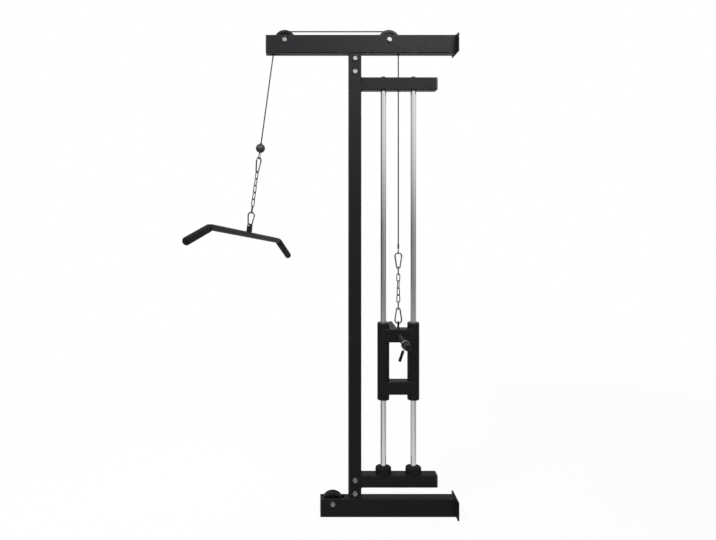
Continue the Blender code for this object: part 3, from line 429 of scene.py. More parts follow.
def dress(name, bm, finish, *nodes):
    """A finished piece that rides on its CAD nodes' body and stands for them."""
    piece = new_piece(name, bm, finish)
    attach(piece, frame["nodes"][nodes[0]]["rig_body"])
    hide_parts(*nodes)


def add_on(name, bm, finish, body):
    """A finished piece with no CAD node of its own, such as a weld."""
    piece = new_piece(name, bm, finish)
    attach(piece, body)


def coated(name, bm, node, edge=BROKEN_EDGE):
    """A cut piece of steelwork with its edges broken, and the coat rubbed where they are."""
    dress(name, mark_worn(break_edges(bm, edge)), steel, node)


def middle(node):
    low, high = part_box(node)
    return (low + high) / 2


def pulley_opening(node, top):
    """The cutters for a pulley's slot and its axle's holes in a beam with the given top."""
    low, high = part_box(node)
    slot = mill((low.x - SLOT_ROOM, low.y - SLOT_ROOM / 2, top - 2 * BEAM_WALL),
                (high.x + SLOT_ROOM, high.y + SLOT_ROOM / 2, top + BEAM_WALL))
    return [slot, cylinder(middle(node), AXLE_HOLE, AXLE_CUT, "Y")]


steel = powder_coat()
low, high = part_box("top_beam")
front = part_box("top_beam_cap")[0].x
line_slot = mill((front + LINE_SLOT[0], -LINE_HOLE, low.z - BEAM_WALL),
                 (front + LINE_SLOT[1], LINE_HOLE, low.z + 2 * BEAM_WALL), LINE_HOLE * 0.98)
rear_hole = cylinder((middle("cable_rear_run").x, 0, low.z), LINE_HOLE, 4 * BEAM_WALL, "Z")
openings = pulley_opening("front_pulley", high.z) + pulley_opening("rear_pulley", high.z)
beam = carve(square_tube(low, high, "X", BEAM_WALL), [*openings, line_slot, rear_hole])
coated("top_beam_tube", beam, "top_beam")

# The base beam is the same tube, shorter, and lies on the floor. A third pulley for low pulls stands
# in a slot at its front end.
low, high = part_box("base_beam")
beam = carve(square_tube(low, high, "X", BEAM_WALL), pulley_opening("low_pulley", high.z))
coated("base_beam_tube", beam, "base_beam")

# The upright is a square tube. It slides over a stub tube, the spigot, welded on each beam, and two
# bolts at each end go through both.
POST_WALL = 0.0025
JOINT_BOLTS = ("upper_joint_bolt_high", "upper_joint_bolt_low", "lower_joint_bolt_high",
               "lower_joint_bolt_low")

low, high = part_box("upright")
holes = [cylinder(middle(bolt), AXLE_HOLE, 2 * (high.y - low.y), "Y") for bolt in JOINT_BOLTS]
coated("upright_tube", carve(square_tube(low, high, "Z", POST_WALL), holes), "upright")
for node in ("upper_spigot", "lower_spigot"):
    for place in frame["nodes"][node].material_slots:
        place.material = steel.material

# A rack plate is cut from flat bar, drilled for two bolts and welded across the rear end of each beam.
# The weld runs right round the tube, and the powder covers it.
PLATE_CORNER = 0.003
PLATE_EDGE = 0.0007
PLATE_HOLE = 0.008
PLATE_HOLE_OFFSET = 0.044
BEAD_RADIUS = 0.0024
RIPPLE_LENGTH = 0.0017
RIPPLE_DEPTH = 0.16


def arc(centre, radius, start, end, steps):
    """Points (across, up) on an arc between two angles in radians."""
    angles = [start + (end - start) * step / steps for step in range(steps + 1)]
    return [(centre[0] + radius * cos(a), centre[1] + radius * sin(a)) for a in angles]


def sweep(path, radius, up, sides=12, closed=False):
    """A round bar drawn along a path, from rings that are extruded on. Its points carry
    (cosine, sine, length along), for patterns that follow the bar."""
    points = [Vector(point) for point in path]
    radii = list(radius) if isinstance(radius, (list, tuple)) else [radius] * len(points)
    last = len(points) - 1
    if closed:
        points.append(points[0])
        radii.append(radii[0])
    bm = bmesh.new()
    carried = bm.verts.layers.float_vector.new("round")
    travelled = 0.0
    for number, point in enumerate(points):
        if closed:
            forward = points[(number + 1) % (last + 1)] - points[(number - 1) % (last + 1)]
        else:
            forward = points[min(number + 1, last)] - points[max(number - 1, 0)]
        forward.normalize()
        side = (Vector(up) - forward * forward.dot(up)).normalized()
        place = Matrix((side, forward.cross(side), forward)).transposed().to_4x4()
        place.translation = point
        place @= Matrix.Diagonal((radii[number], radii[number], radii[number], 1))
        if number == 0:
            bmesh.ops.create_circle(bm, segments=sides, radius=1.0, matrix=place)
            ring, ring_edges = list(bm.verts), list(bm.edges)
            first_edges = ring_edges
        else:
            made = bmesh.ops.extrude_edge_only(bm, edges=ring_edges)["geom"]
            ring = [item for item in made if isinstance(item, bmesh.types.BMVert)]
            ring_edges = [item for item in made if isinstance(item, bmesh.types.BMEdge)
                          and item.verts[0] in ring and item.verts[1] in ring]
            bmesh.ops.transform(bm, matrix=place @ before.inverted(), verts=ring)
            travelled += (point - points[number - 1]).length
        before = place
        for vert in ring:
            spot = place.inverted() @ vert.co
            vert[carried] = (spot.x, spot.y, travelled)
    if closed:
        bmesh.ops.remove_doubles(bm, verts=bm.verts, dist=0.00002)
    else:
        for edges in (first_edges, ring_edges):
            bmesh.ops.edgeloop_fill(bm, edges=edges)
    bmesh.ops.recalc_face_normals(bm, faces=bm.faces)
    return bm


def evenly(path, step):
    """A closed path with points a step apart."""
    points = [Vector(point) for point in (*path, path[0])]
    lengths = [(b - a).length for a, b in zip(points, points[1:])]
    total = sum(lengths)
    count = max(8, round(total / step / 2) * 2)
    walked, leg, result = 0.0, 0, []
    for number in range(count):
        target = total * number / count
        while leg < len(lengths) - 1 and walked + lengths[leg] < target:
            walked += lengths[leg]
            leg += 1
        result.append(points[leg].lerp(points[leg + 1], (target - walked) / lengths[leg]))
    return result


def weld_bead(path, up, radius=BEAD_RADIUS):
    """A ripple for each step of the torch along a closed seam."""
    points = evenly(path, RIPPLE_LENGTH / 2)
    radii = [radius * (1 - RIPPLE_DEPTH * (number % 2)) for number in range(len(points))]
    return sweep(points, radii, up, 8, True)


def tube_outline(low, high, x):
    """The outline of a tube that runs along X, where it meets a plate or a post at x."""
    inset = Vector((0, CORNER_RADIUS, CORNER_RADIUS))
    low, high = low + inset, high - inset
    points = []
    for number, centre in enumerate(((high.y, high.z), (low.y, high.z), (low.y, low.z), (high.y, low.z))):
        points += arc(centre, CORNER_RADIUS, number * pi / 2, (number + 1) * pi / 2, CORNER_STEPS)
    return [(x, y, z) for y, z in points]


for name, tube in (("upper_rack_plate", "top_beam"), ("lower_rack_plate", "base_beam")):
    low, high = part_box(name)
    plate = box_blank(low, high)
    round_edges(plate, edges_along(plate, "X"), PLATE_CORNER, 5)
    holes = [cylinder(middle(name) + Vector((0, offset, 0)), PLATE_HOLE, 0.05, "X")
             for offset in (-PLATE_HOLE_OFFSET, PLATE_HOLE_OFFSET)]
    coated(f"{name}_steel", carve(plate, holes), name, PLATE_EDGE)
    seam = [(x, y, max(z, CAD_LOW.z + BEAD_RADIUS)) for x, y, z in tube_outline(*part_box(tube), low.x)]
    add_on(f"{name}_weld", weld_bead(seam, (1, 0, 0)), steel, "tower")

# The two rod brackets are short square tubes welded to the upright. They are drilled for the rods,
# and the upper one also for the rod bolts and for the cable, which passes straight through it.
ROD_HOLE = 0.013
RODS = ("front_guide_rod", "rear_guide_rod")

bracket_holes = {"upper_rod_bracket": [], "lower_rod_bracket": []}
for rod_name in RODS:
    x = middle(rod_name).x
    low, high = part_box("upper_rod_bracket")
    bracket_holes["upper_rod_bracket"] += [cylinder((x, 0, low.z), ROD_HOLE, 4 * POST_WALL, "Z"),
                                           cylinder((x, 0, high.z), AXLE_HOLE, 4 * POST_WALL, "Z")]
    bracket_holes["lower_rod_bracket"].append(
        cylinder((x, 0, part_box("lower_rod_bracket")[1].z), ROD_HOLE, 4 * POST_WALL, "Z"))
bracket_holes["upper_rod_bracket"].append(
    cylinder((middle("cable_rear_run").x, 0, high.z), LINE_HOLE, 4 * (high.z - low.z), "Z"))
for name, holes in bracket_holes.items():
    low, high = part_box(name)
    coated(f"{name}_tube", carve(square_tube(low, high, "X", POST_WALL), holes), name)
    add_on(f"{name}_weld", weld_bead(tube_outline(low, high, low.x), (1, 0, 0)), steel, "tower")

# Each open tube end is closed by a moulded cap: a plate with a rounded rim outside, and a plug with
# three ribs a side that is pressed into the tube.
BEAM_CAP = (BEAM_WALL, 0.0035, 0.0016)     # the tube's wall, the plate's thickness, its rim's rounding
BRACKET_CAP = (POST_WALL, 0.0070, 0.0055)
PLUG_DEPTH = 0.0085
RIB_COUNT = 3
RIB_HALF_WIDTH = 0.0006
RIB_PROUD = 0.0006


def cap_plastic():
    """Injection moulded black nylon with a fine spark-eroded grain."""
    finish = Finish("cap plastic", "black_plastic", {"Metallic": 0.0, "Specular IOR Level": 0.45})
    grain = finish.noise(1500, 3)
    flow = finish.noise(18, 3)
    scuffed = finish.mark("worn") * finish.noise(220, 3).within(0.5, 0.7)
    black = finish.mix(flow, (0.010, 0.010, 0.0105, 1), (0.015, 0.015, 0.0155, 1))
    finish.colour(scuffed * 0.5, black, (0.045, 0.045, 0.046, 1), 0.42 + grain * 0.16 + flow * 0.05)
    return finish.bump(grain, 0.00025, 0.35)


def joined(*shapes):
    """Separate closed shapes in one mesh."""
    whole = bmesh.new()
    for shape in shapes:
        mesh = as_mesh("shape", shape)
        whole.from_mesh(mesh)
        bpy.data.meshes.remove(mesh)
    return whole


def end_cap(node, wall, thickness, rim_rounding):
    """The plate lies at the end of the node's box that faces away from the tube's middle."""
    low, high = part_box(node)
    inward = 1 if "beam" in node else -1
    face = low.x if inward > 0 else high.x
    back = face + inward * thickness

    def block(start, end, inset):
        """A box from one x to another, smaller than the cap by the inset all round."""
        return box_blank((start, low.y + inset, low.z + inset), (end, high.y - inset, high.z - inset))

    plate = block(face, back, 0)
    round_edges(plate, edges_along(plate, "X"), CORNER_RADIUS, CORNER_STEPS)
    rim = [edge for edge in plate.edges if all(abs(vert.co.x - face) < 0.00001 for vert in edge.verts)]
    round_edges(plate, rim, rim_rounding, 6)
    shapes = [plate, block(back, back + inward * PLUG_DEPTH, wall + RIB_PROUD)]
    for number in range(RIB_COUNT):
        x = back + inward * PLUG_DEPTH * (number + 0.7) / RIB_COUNT
        shapes.append(block(x - RIB_HALF_WIDTH, x + RIB_HALF_WIDTH, wall))
    return joined(*shapes)


plastic = cap_plastic()
for node, sizes in (("top_beam_cap", BEAM_CAP), ("base_beam_cap", BEAM_CAP),
                    ("upper_bracket_cap", BRACKET_CAP), ("lower_bracket_cap", BRACKET_CAP)):
    dress(f"{node}_moulding", mark_worn(end_cap(node, *sizes)), plastic, node)

# M10 hexagon bolts in bright zinc hold the upright on its spigots and carry the pulleys: a head with
# a turned chamfer, a washer at each wall, and a nut that leaves a little thread showing at the back.
BOLT_RADIUS = 0.005
THREAD_PITCH = 0.0015
THREAD_DEPTH = 0.0008
HEX_ACROSS_FLATS = 0.017
HEAD_HEIGHT = 0.0065
NUT_HEIGHT = 0.0085
WASHER_RADIUS = 0.0105
WASHER_THICKNESS = 0.002
THREAD_SHOWN = 0.004
SEAT_GAP = 0.0003
SPACER_RADIUS = 0.009
BOLT_EDGE = 0.0002
THREAD_IN_NUT = 0.002
HEAD_DISH = (0.0004, 0.0052, 0.0008, 0.001)       # depth, radius, spread, and how far the cutter stands out
NUT_MOUTH = (0.0012, BOLT_RADIUS, 0.0010, 0.0002)
PULLEYS = ("front_pulley", "rear_pulley", "low_pulley")


def plated(name, tone, roughness):
    """A plated metal of the given grey, mottled in tone and a little duller in patches."""
    finish = Finish(name, "zinc", {"Metallic": 1.0})
    mottle = finish.noise(240, 4)
    drawn = finish.noise(900, 2)
    dull = finish.noise(60, 3).within(0.45, 0.70)
    light = finish.mix(mottle, (tone * 0.78, tone * 0.79, tone * 0.81, 1),
                       (tone * 1.2, tone * 1.21, tone * 1.22, 1))
    finish.colour(dull * 0.35, light, (tone * 0.62, tone * 0.61, tone * 0.58, 1),
                  roughness + mottle * 0.12 + dull * 0.10)
    return finish.bump(drawn, 0.00012, 0.25)


def turned(profile, segments=48, place=None):
    """A shape turned on a lathe about Z, from (radius, height) points. One that stays off the axis
    closes on itself."""
    bm = bmesh.new()
    points = [bm.verts.new((radius, 0, height)) for radius, height in profile]
    pairs = list(zip(points, points[1:]))
    if profile[0][0] > 0:
        pairs.append((points[-1], points[0]))
    edges = [bm.edges.new(pair) for pair in pairs]
    bmesh.ops.spin(bm, geom=points + edges, axis=(0, 0, 1), cent=(0, 0, 0), steps=segments,
                   angle=tau, use_merge=True)
    bmesh.ops.remove_doubles(bm, verts=bm.verts, dist=0.000001)
    bmesh.ops.recalc_face_normals(bm, faces=bm.faces)
    return moved(bm, place) if place else bm


def moved(bm, place):
    bmesh.ops.transform(bm, matrix=place, verts=bm.verts)
    return bm


def raised(height):
    return Matrix.Translation((0, 0, height))


def at(*place):
    return Matrix.Translation(place)


def spun(angle, axis):
    return Matrix.Rotation(angle, 4, axis)


def disc(radius, low, high, bore=0.0, edge=0.0):
    """The lathe points of a disc or ring between two heights, its outer edges taken off by this much."""
    if not edge:
        return [(bore, low), (radius, low), (radius, high), (bore, high)]
    return [(bore, low), (radius - edge, low), (radius, low + edge), (radius, high - edge),
            (radius - edge, high), (bore, high)]


def rounding(radius, height, size, steps, below=False):
    """The lathe points of a rounded outer edge, at the top of a shape or at its bottom."""
    if below:
        return arc((radius - size, height + size), size, -pi / 2, 0, steps)
    return arc((radius - size, height - size), size, 0, pi / 2, steps)


def hexagon(across_flats, height, both_ends=False):
    """A hexagon standing on z = 0 with its corners turned down at 30 degrees."""
    corner = across_flats / sqrt(3)
    beyond = corner * 1.02
    face = across_flats * 0.485
    drop = (corner - face) * tan(radians(30)) * 1.2
    low = [(0, 0), (face, 0), (beyond, drop)] if both_ends else [(0, 0), (beyond, 0)]
    cone = turned(low + [(beyond, height - drop), (face, height), (0, height)])
    return carve(cylinder((0, 0, height / 2), corner, height, "Z", 6), [cone], "INTERSECT")


def dished(shape, top, depth, radius, spread, over):
    """The shape with a round hollow in its top, whose side leans out, and with broken edges."""
    hollow = turned([(0, top - depth), (radius, top - depth), (radius + spread, top + over), (0, top + over)])
    return break_edges(carve(shape, [hollow]), BOLT_EDGE)


def washer():
    """A ring on z = 0 with its outer edges rounded by the punch."""
    return turned(disc(WASHER_RADIUS, 0, WASHER_THICKNESS, BOLT_RADIUS * 0.9, WASHER_THICKNESS * 0.3))


def thread(radius, length, pitch=THREAD_PITCH, depth=THREAD_DEPTH):
    """A screw end from z = 0 to its length: a cylinder whose rings are pushed into a helical groove."""
    rings = round(length / pitch * 6)
    side = [(radius, length * number / rings) for number in range(rings + 1)]
    bm = turned([(0, 0), *side, (0, length)], 24)
    for vert in bm.verts:
        if vert.co.xy.length > radius / 2:
            turn = atan2(vert.co.y, vert.co.x) / tau
            valley = abs(2 * ((vert.co.z / pitch - turn) % 1.0) - 1)
            tip = max(0.0, (vert.co.z - length + pitch / 2) / (pitch / 2))
            vert.co.xy *= (radius - depth * max(valley, tip)) / radius
    return bm


def bolt_head(height):
    """The head, shallowly dished on top, on its washer, standing on z = 0."""
    head = moved(hexagon(HEX_ACROSS_FLATS, height), raised(WASHER_THICKNESS))
    head = dished(head, WASHER_THICKNESS + height, *HEAD_DISH)
    return joined(washer(), head)


def nut_and_tip():
    """The washer, the nut and the bolt's threaded end, standing on z = 0."""
    top = WASHER_THICKNESS + NUT_HEIGHT
    nut = moved(hexagon(HEX_ACROSS_FLATS, NUT_HEIGHT, True), raised(WASHER_THICKNESS))
    nut = dished(nut, top, *NUT_MOUTH)
    tip = moved(thread(BOLT_RADIUS, THREAD_SHOWN + THREAD_IN_NUT), raised(top - THREAD_IN_NUT))
    return joined(washer(), nut, tip)


def through_bolt(width, spacer_from=None):
    """A bolt along Y across a tube of this width, head towards -Y, with spacers beside a pulley."""
    seat = width / 2 + SEAT_GAP
    shapes = [moved(bolt_head(HEAD_HEIGHT), raised(seat)),
              moved(nut_and_tip(), spun(pi, "X") @ raised(seat)),
              turned(disc(BOLT_RADIUS, -seat, seat), 32)]
    if spacer_from:
        spacer = disc(SPACER_RADIUS, spacer_from, width / 2 - BEAM_WALL - SEAT_GAP, BOLT_RADIUS)
        shapes += [turned(spacer, 32, spun(side, "X")) for side in (0, pi)]
    return moved(joined(*shapes), TURNS["Y"])


zinc = plated("bright zinc", 0.20, 0.33)
low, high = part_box("upright")
for number, node in enumerate(JOINT_BOLTS):
    place = at(middle(node).x, 0, middle(node).z) @ spun(radians(17 + 31 * number), "Y")
    dress(f"{node}_set", moved(through_bolt(high.y - low.y), place), zinc, node)
for number, pulley in enumerate(PULLEYS):
    low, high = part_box("base_beam" if pulley == "low_pulley" else "top_beam")
    bolt = through_bolt(high.y - low.y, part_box(pulley)[1].y + SEAT_GAP)
    place = at(*middle(pulley)) @ spun(radians(9 + 23 * number), "Y")
    dress(f"{pulley}_bolt_set", moved(bolt, place), zinc, f"{pulley}_bolt")

# The guide rods are 25 mm bars, ground and hard chromed. Each stands in the lower bracket and is drawn
# up inside the upper one by a blackened bolt in its tapped end.
ROD_CHAMFER = 0.0015
ROD_BOLT_HEAD = 0.0045
ROD_BOLT_LENGTH = 0.020


def radius_of(node):
    low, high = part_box(node)
    return (high.x - low.x) / 2


def hard_chrome():
    """Bright chrome with faint grinding lines round the bar and thin streaks of oil down it."""
    finish = Finish("hard chrome", "chrome", {"Metallic": 1.0, "Specular Tint": (0.6, 0.6, 0.6, 1)})
    ground = finish.noise(1.0, 2, finish.stretched((120, 120, 5200)))
    streaks = finish.noise(1.0, 4, finish.stretched((420, 420, 5)))
    film = streaks.within(0.50, 0.75)
    finish.colour(film * 0.5, (0.66, 0.66, 0.665, 1), (0.52, 0.50, 0.48, 1),
                  0.055 + ground * 0.03 + film * 0.07)
    return finish.bump(ground, 0.00001, 0.25)


chrome = hard_chrome()
black_oxide = plated("black oxide", 0.035, 0.34)
for node, bolt_node in zip(RODS, ("front_rod_bolt", "rear_rod_bolt")):
    low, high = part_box(node)
    bar = turned(disc(radius_of(node), low.z, high.z, 0.0, ROD_CHAMFER), 96, at(middle(node).x, 0, 0))
    dress(f"{node}_bar", bar, chrome, node)
    shank = moved(thread(BOLT_RADIUS, ROD_BOLT_LENGTH), raised(-ROD_BOLT_LENGTH))
    spot = at(middle(bolt_node).x, 0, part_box("upper_rod_bracket")[1].z + SEAT_GAP)
    dress(f"{bolt_node}_set", moved(joined(bolt_head(ROD_BOLT_HEAD), shank), spot), black_oxide, bolt_node)

# A rubber bumper sits round the foot of each rod and stops the carriage. It is a moulded ring with a
# raised lip round the rod, a fat rounded shoulder, and the flash line of its mould.
BUMPER_SHOULDER = 0.0048
LIP_RADIUS = 0.0215
LIP_HEIGHT = 0.0020
LIP_ROUNDING = 0.0008
BUMPER_EDGE = 0.0015
FLASH = 0.0003


def black_rubber():
    """Matt moulded rubber with a fine grain, greyer where it has been handled."""
    finish = Finish("black rubber", "black_rubber", {"Metallic": 0.0, "Specular IOR Level": 0.12})
    grain = finish.noise(1100, 3)
    bloom = finish.noise(45, 4).within(0.42, 0.75)
    finish.colour(bloom, (0.0040, 0.0040, 0.0040, 1), (0.0085, 0.0085, 0.0083, 1),
                  0.58 + bloom * 0.14 + grain * 0.06)
    return finish.bump(grain, 0.0003, 0.30)


rubber = black_rubber()
for node in ("front_bumper", "rear_bumper"):
    low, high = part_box(node)
    radius = radius_of(node)
    top = high.z - LIP_HEIGHT
    flash = (low.z + top) / 2
    profile = [(ROD_HOLE, low.z), (radius - BUMPER_EDGE, low.z), (radius, low.z + BUMPER_EDGE),
               (radius, flash - FLASH), (radius + FLASH, flash), (radius, flash + FLASH),
               *rounding(radius, top, BUMPER_SHOULDER, 8),
               (LIP_RADIUS + 0.0022, top), (LIP_RADIUS + 0.0008, top + 0.0004),
               *rounding(LIP_RADIUS, high.z, LIP_ROUNDING, 3),
               (ROD_HOLE + 0.0012, high.z), (ROD_HOLE, high.z - 0.0012)]
    dress(f"{node}_ring", turned(profile, 72, at(middle(node).x, 0, 0)), rubber, node)

# The pulleys are moulded in black nylon: a rim with a round groove for the cable, a thin web stiffened
# by six ribs on each side, and a hub with a steel ball bearing pressed into each face. On the two upper
# ones a plain steel ring lies on the ribs and shows as a short glint over the beam.
BEARING_OUTER = 0.011
BEARING_SHIELD = (0.0078, 0.0096)
BEARING_PROUD = 0.0002
BEARING_DEPTH = 0.004
RACE_EDGE = 0.0004
HUB_RADIUS = 0.013
WEB_HALF = 0.006
RIB_RISE = 0.0042
RIB_HALF = 0.0013
RIB_EDGE = 0.0006
PULLEY_RIBS = 6
RIM_INNER = 0.0349
RIM_ROUNDING = 0.0022
GROOVE_HALF_MOUTH = 0.007
GROOVE_RADIUS = 0.0031
WHEEL_BORE = 0.0053
RING_INNER = 0.0236
RING_OUTER = 0.0258
RING_FACE = 0.0116            # from the wheel's middle
TRACK = middle("cable_rear_run").x - middle("rear_pulley").x


def glossy_nylon():
    """Nylon polished by the cable and by hands, with faint moulding swirls."""
    finish = Finish("glossy nylon", "pulley_plastic", {"Metallic": 0.0, "Specular IOR Level": 0.16})
    swirl = finish.noise(90, 4)
    rubbed = finish.noise(320, 3).within(0.52, 0.72)
    finish.colour(rubbed * 0.5, (0.0075, 0.0075, 0.0080, 1), (0.016, 0.016, 0.016, 1),
                  0.24 + swirl * 0.10 + rubbed * 0.12)
    return finish.bump(swirl, 0.0002, 0.2)


def pulley_wheel(radius, half):
    side = [(WHEEL_BORE, half), (HUB_RADIUS - 0.0010, half), (HUB_RADIUS, half - 0.0010),
            (HUB_RADIUS + 0.0004, WEB_HALF + 0.0010), (HUB_RADIUS + 0.0014, WEB_HALF),
            (RIM_INNER - 0.0014, WEB_HALF), (RIM_INNER - 0.0002, WEB_HALF + 0.0010),
            (RIM_INNER, half - 0.0008), (RIM_INNER + 0.0008, half),
            *rounding(radius, half, RIM_ROUNDING, 6)[::-1],
            (radius, GROOVE_HALF_MOUTH + 0.0006), (radius - 0.0005, GROOVE_HALF_MOUTH),
            *arc((TRACK, 0), GROOVE_RADIUS, radians(62), pi, 10)]
    shapes = [turned(side + [(r, -height) for r, height in side[-2::-1]], 120)]
    for number in range(PULLEY_RIBS):
        rib = box_blank((HUB_RADIUS - 0.001, -RIB_HALF, -WEB_HALF - RIB_RISE),
                        (RIM_INNER + 0.001, RIB_HALF, WEB_HALF + RIB_RISE))
        round_edges(rib, edges_along(rib, "X"), RIB_EDGE, 2)
        shapes.append(moved(rib, spun(tau * number / PULLEY_RIBS, "Z")))
    return joined(*shapes)


def steel_rings(half, on_ribs):
    """The inner and outer race of the bearing in each face of the hub, and the ring on the ribs."""
    foot, face = half - BEARING_DEPTH, half + BEARING_PROUD
    sizes = [(WHEEL_BORE, BEARING_SHIELD[0], foot, face), (BEARING_SHIELD[1], BEARING_OUTER, foot, face)]
    if on_ribs:
        sizes.append((RING_INNER, RING_OUTER, WEB_HALF + RIB_RISE - 0.0004, RING_FACE))
    rings = []
    for inner, outer, low, high in sizes:
        profile = [(inner, low), (outer, low), (outer, high - RACE_EDGE), (outer - RACE_EDGE, high),
                   (inner + RACE_EDGE, high), (inner, high - RACE_EDGE)]
        rings += [turned(profile, 72, spun(side, "X")) for side in (0, pi)]
    return joined(*rings)


nylon = glossy_nylon()
for number, node in enumerate(PULLEYS):
    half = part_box(node)[1].y
    place = at(*middle(node)) @ TURNS["Y"] @ spun(0.3 + number, "Z")
    dress(f"{node}_wheel", moved(pulley_wheel(radius_of(node), half), place), nylon, node)
    add_on(f"{node}_bearings", moved(steel_rings(half, node != "low_pulley"), place), zinc,
           frame["nodes"][node]["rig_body"])

# The cable is a steel rope in a black nylon jacket that shows the lay of its strands. It is always
# taut: up from the carriage, over both pulleys along the beam, and down to the ball at the bar.
CABLE_RADIUS = 0.0028
CABLE_STRANDS = 6
STRAND_LAY = 0.030            # length of one full turn of a strand
WRAP_STEPS = 24
WRAP_UNDER = radians(24)
UNDER_RADIUS = 0.0027
RUN_STEP = 0.012
BALL_RADIUS = 0.020
CABLE_IN_BALL = 0.006
PULL_AXIS = next(Vector(joint["axis"]) for joint in frame["joints"] if joint["name"] == "line_pull")
LINE_TILT = asin(-PULL_AXIS.x)


def cable_jacket():
    """Black nylon over laid strands, rubbed grey along their crests."""
    finish = Finish("cable jacket", "coated_cable", {"Metallic": 0.0, "Specular IOR Level": 0.5})
    across, up, run = finish.axes(finish.mark("round", "Vector"))
    angle = finish.math("ARCTAN2", up, across)
    wave = angle * CABLE_STRANDS + run * (CABLE_STRANDS * tau / STRAND_LAY)
    crest = finish.math("SINE", wave) * 0.5 + 0.5
    rubbed = crest.within(0.6, 1.0) * finish.noise(300, 3)
    finish.colour(rubbed, (0.0075, 0.0075, 0.0080, 1), (0.022, 0.022, 0.022, 1), 0.34 + rubbed * 0.2)
    return finish.bump(crest, 0.0004, 0.6)


def straight(start, end):
    start, end = Vector(start), Vector(end)
    count = max(2, round((end - start).length / RUN_STEP))
    return [start.lerp(end, number / count) for number in range(count + 1)]


def side_path(points):
    """Points (across, up) as a path in the tower's middle plane."""
    return [(x, 0, z) for x, z in points]


def rope(path, radius=CABLE_RADIUS):
    return sweep(path, radius, (0, 1, 0), 16)


jacket = cable_jacket()
front, rear = middle("front_pulley"), middle("rear_pulley")
line_start = front + Vector((-TRACK * cos(LINE_TILT), 0, TRACK * sin(LINE_TILT)))
over = side_path(arc((rear.x, rear.z), TRACK, 0, pi / 2, WRAP_STEPS))
down = side_path(arc((front.x, front.z), TRACK, pi / 2, pi - LINE_TILT, WRAP_STEPS))
dress("cable_over_pulleys", rope(over + straight(over[-1], down[0])[1:-1] + down), jacket, "cable_top_run")

low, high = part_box("cable_rear_run")
top = Vector((rear.x + TRACK, 0, rear.z))
run = new_piece("cable_to_carriage", rope(straight(top, (top.x, 0, low.z))), jacket)
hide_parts("cable_rear_run")
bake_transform(run)

# Where the line leaves the front pulley it can swing, so a short length of it lies on inside the
# cable that is wrapped there.
ball = middle("ball_stopper")
ball_top = ball - PULL_AXIS * (BALL_RADIUS - CABLE_IN_BALL)
wrapped = arc((front.x, front.z), TRACK, pi - LINE_TILT - WRAP_UNDER, pi - LINE_TILT, WRAP_STEPS)
hanging = straight(line_start, ball_top)
line_radii = [UNDER_RADIUS] * WRAP_STEPS + [CABLE_RADIUS] * len(hanging)
run = new_piece("cable_to_ball", rope(side_path(wrapped[:-1]) + hanging, line_radii), jacket)
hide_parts("cable_front_run")
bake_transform(run)

# The carriage slides on the rods: two round steel sleeves joined by two square crossbars, notched to
# fit round them and welded all round. Each sleeve has a nylon liner whose rounded flanges show.
SLEEVE_WALL = 0.003
SLEEVE_EDGE = 0.0006
FLANGE_ROUNDING = 0.0034
LINER_EDGE = 0.0008
NOTCH_GAP = 0.0003

for node in ("front_sleeve", "rear_sleeve"):
    low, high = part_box(node)
    radius = radius_of(node)
    bore = radius - SLEEVE_WALL
    foot, head = low.z - NOTCH_GAP, high.z + NOTCH_GAP
    upright_axis = at(middle(node).x, 0, 0)
    tube = turned(disc(radius, low.z, high.z, bore, SLEEVE_EDGE), 96, upright_axis)
    dress(f"{node}_tube", tube, steel, node)
    low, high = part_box(f"{node}_liner")
    profile = [(ROD_HOLE, low.z + LINER_EDGE), (ROD_HOLE + LINER_EDGE, low.z),
               *rounding(radius, low.z, FLANGE_ROUNDING, 8, True),
               (radius, foot), (bore - NOTCH_GAP, foot), (bore - NOTCH_GAP, head), (radius, head),
               *rounding(radius, high.z, FLANGE_ROUNDING, 8),
               (ROD_HOLE + LINER_EDGE, high.z), (ROD_HOLE, high.z - LINER_EDGE)]
    dress(f"{node}_liner_bush", turned(profile, 96, upright_axis), plastic, f"{node}_liner")

POST_RADIUS = 0.0125
POST_HOLE = 0.013
SEAM_STEP = 0.001
EAR_SEAM = 0.0008             # the weld at the crossbar's side walls, outside the sleeve
CROSSBAR_EDGE = 0.0003

rod_xs = [middle(rod).x for rod in RODS]
reach = radius_of("front_sleeve") + NOTCH_GAP
centre = middle("weight_post")
for node in ("upper_crossbar", "lower_crossbar"):
    low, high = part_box(node)
    bar = square_tube((rod_xs[0], low.y, low.z), (rod_xs[1], high.y, high.z), "X", POST_WALL)
    tools = [cylinder((x, 0, middle(node).z), reach, 0.2, "Z", 96) for x in rod_xs]
    if node == "upper_crossbar":
        tools.append(cylinder((centre.x, 0, centre.z), POST_HOLE, 0.2, "Y"))
    coated(f"{node}_tube", carve(bar, tools), node, CROSSBAR_EDGE)
    beads = []
    for x, inward in zip(rod_xs, (1, -1)):
        seam = []
        for _, y, z in evenly(tube_outline(low, high, x), SEAM_STEP):
            edge = inward * sqrt(max(0.0, reach ** 2 - y ** 2))
            seam.append((x + edge, max(-reach - EAR_SEAM, min(reach + EAR_SEAM, y)), z))
        beads.append(weld_bead(seam, (1, 0, 0)))
    add_on(f"{node}_welds", joined(*beads), steel, "carriage")

# The weight post is a round bar pushed through the upper crossbar and welded at both faces. Its ends
# are turned to a short taper, so that a weight plate finds its way on.
POST_TAPER = 0.002
POST_TIP = 0.0015


def ring_weld(place, radius, steps, bead=BEAD_RADIUS):
    """A weld right round a bar, in the XY plane of its place."""
    circle = [(x, y, 0) for x, y in arc((0, 0), radius, 0, tau, steps)[:-1]]
    return moved(weld_bead(circle, (0, 0, 1), bead), place)


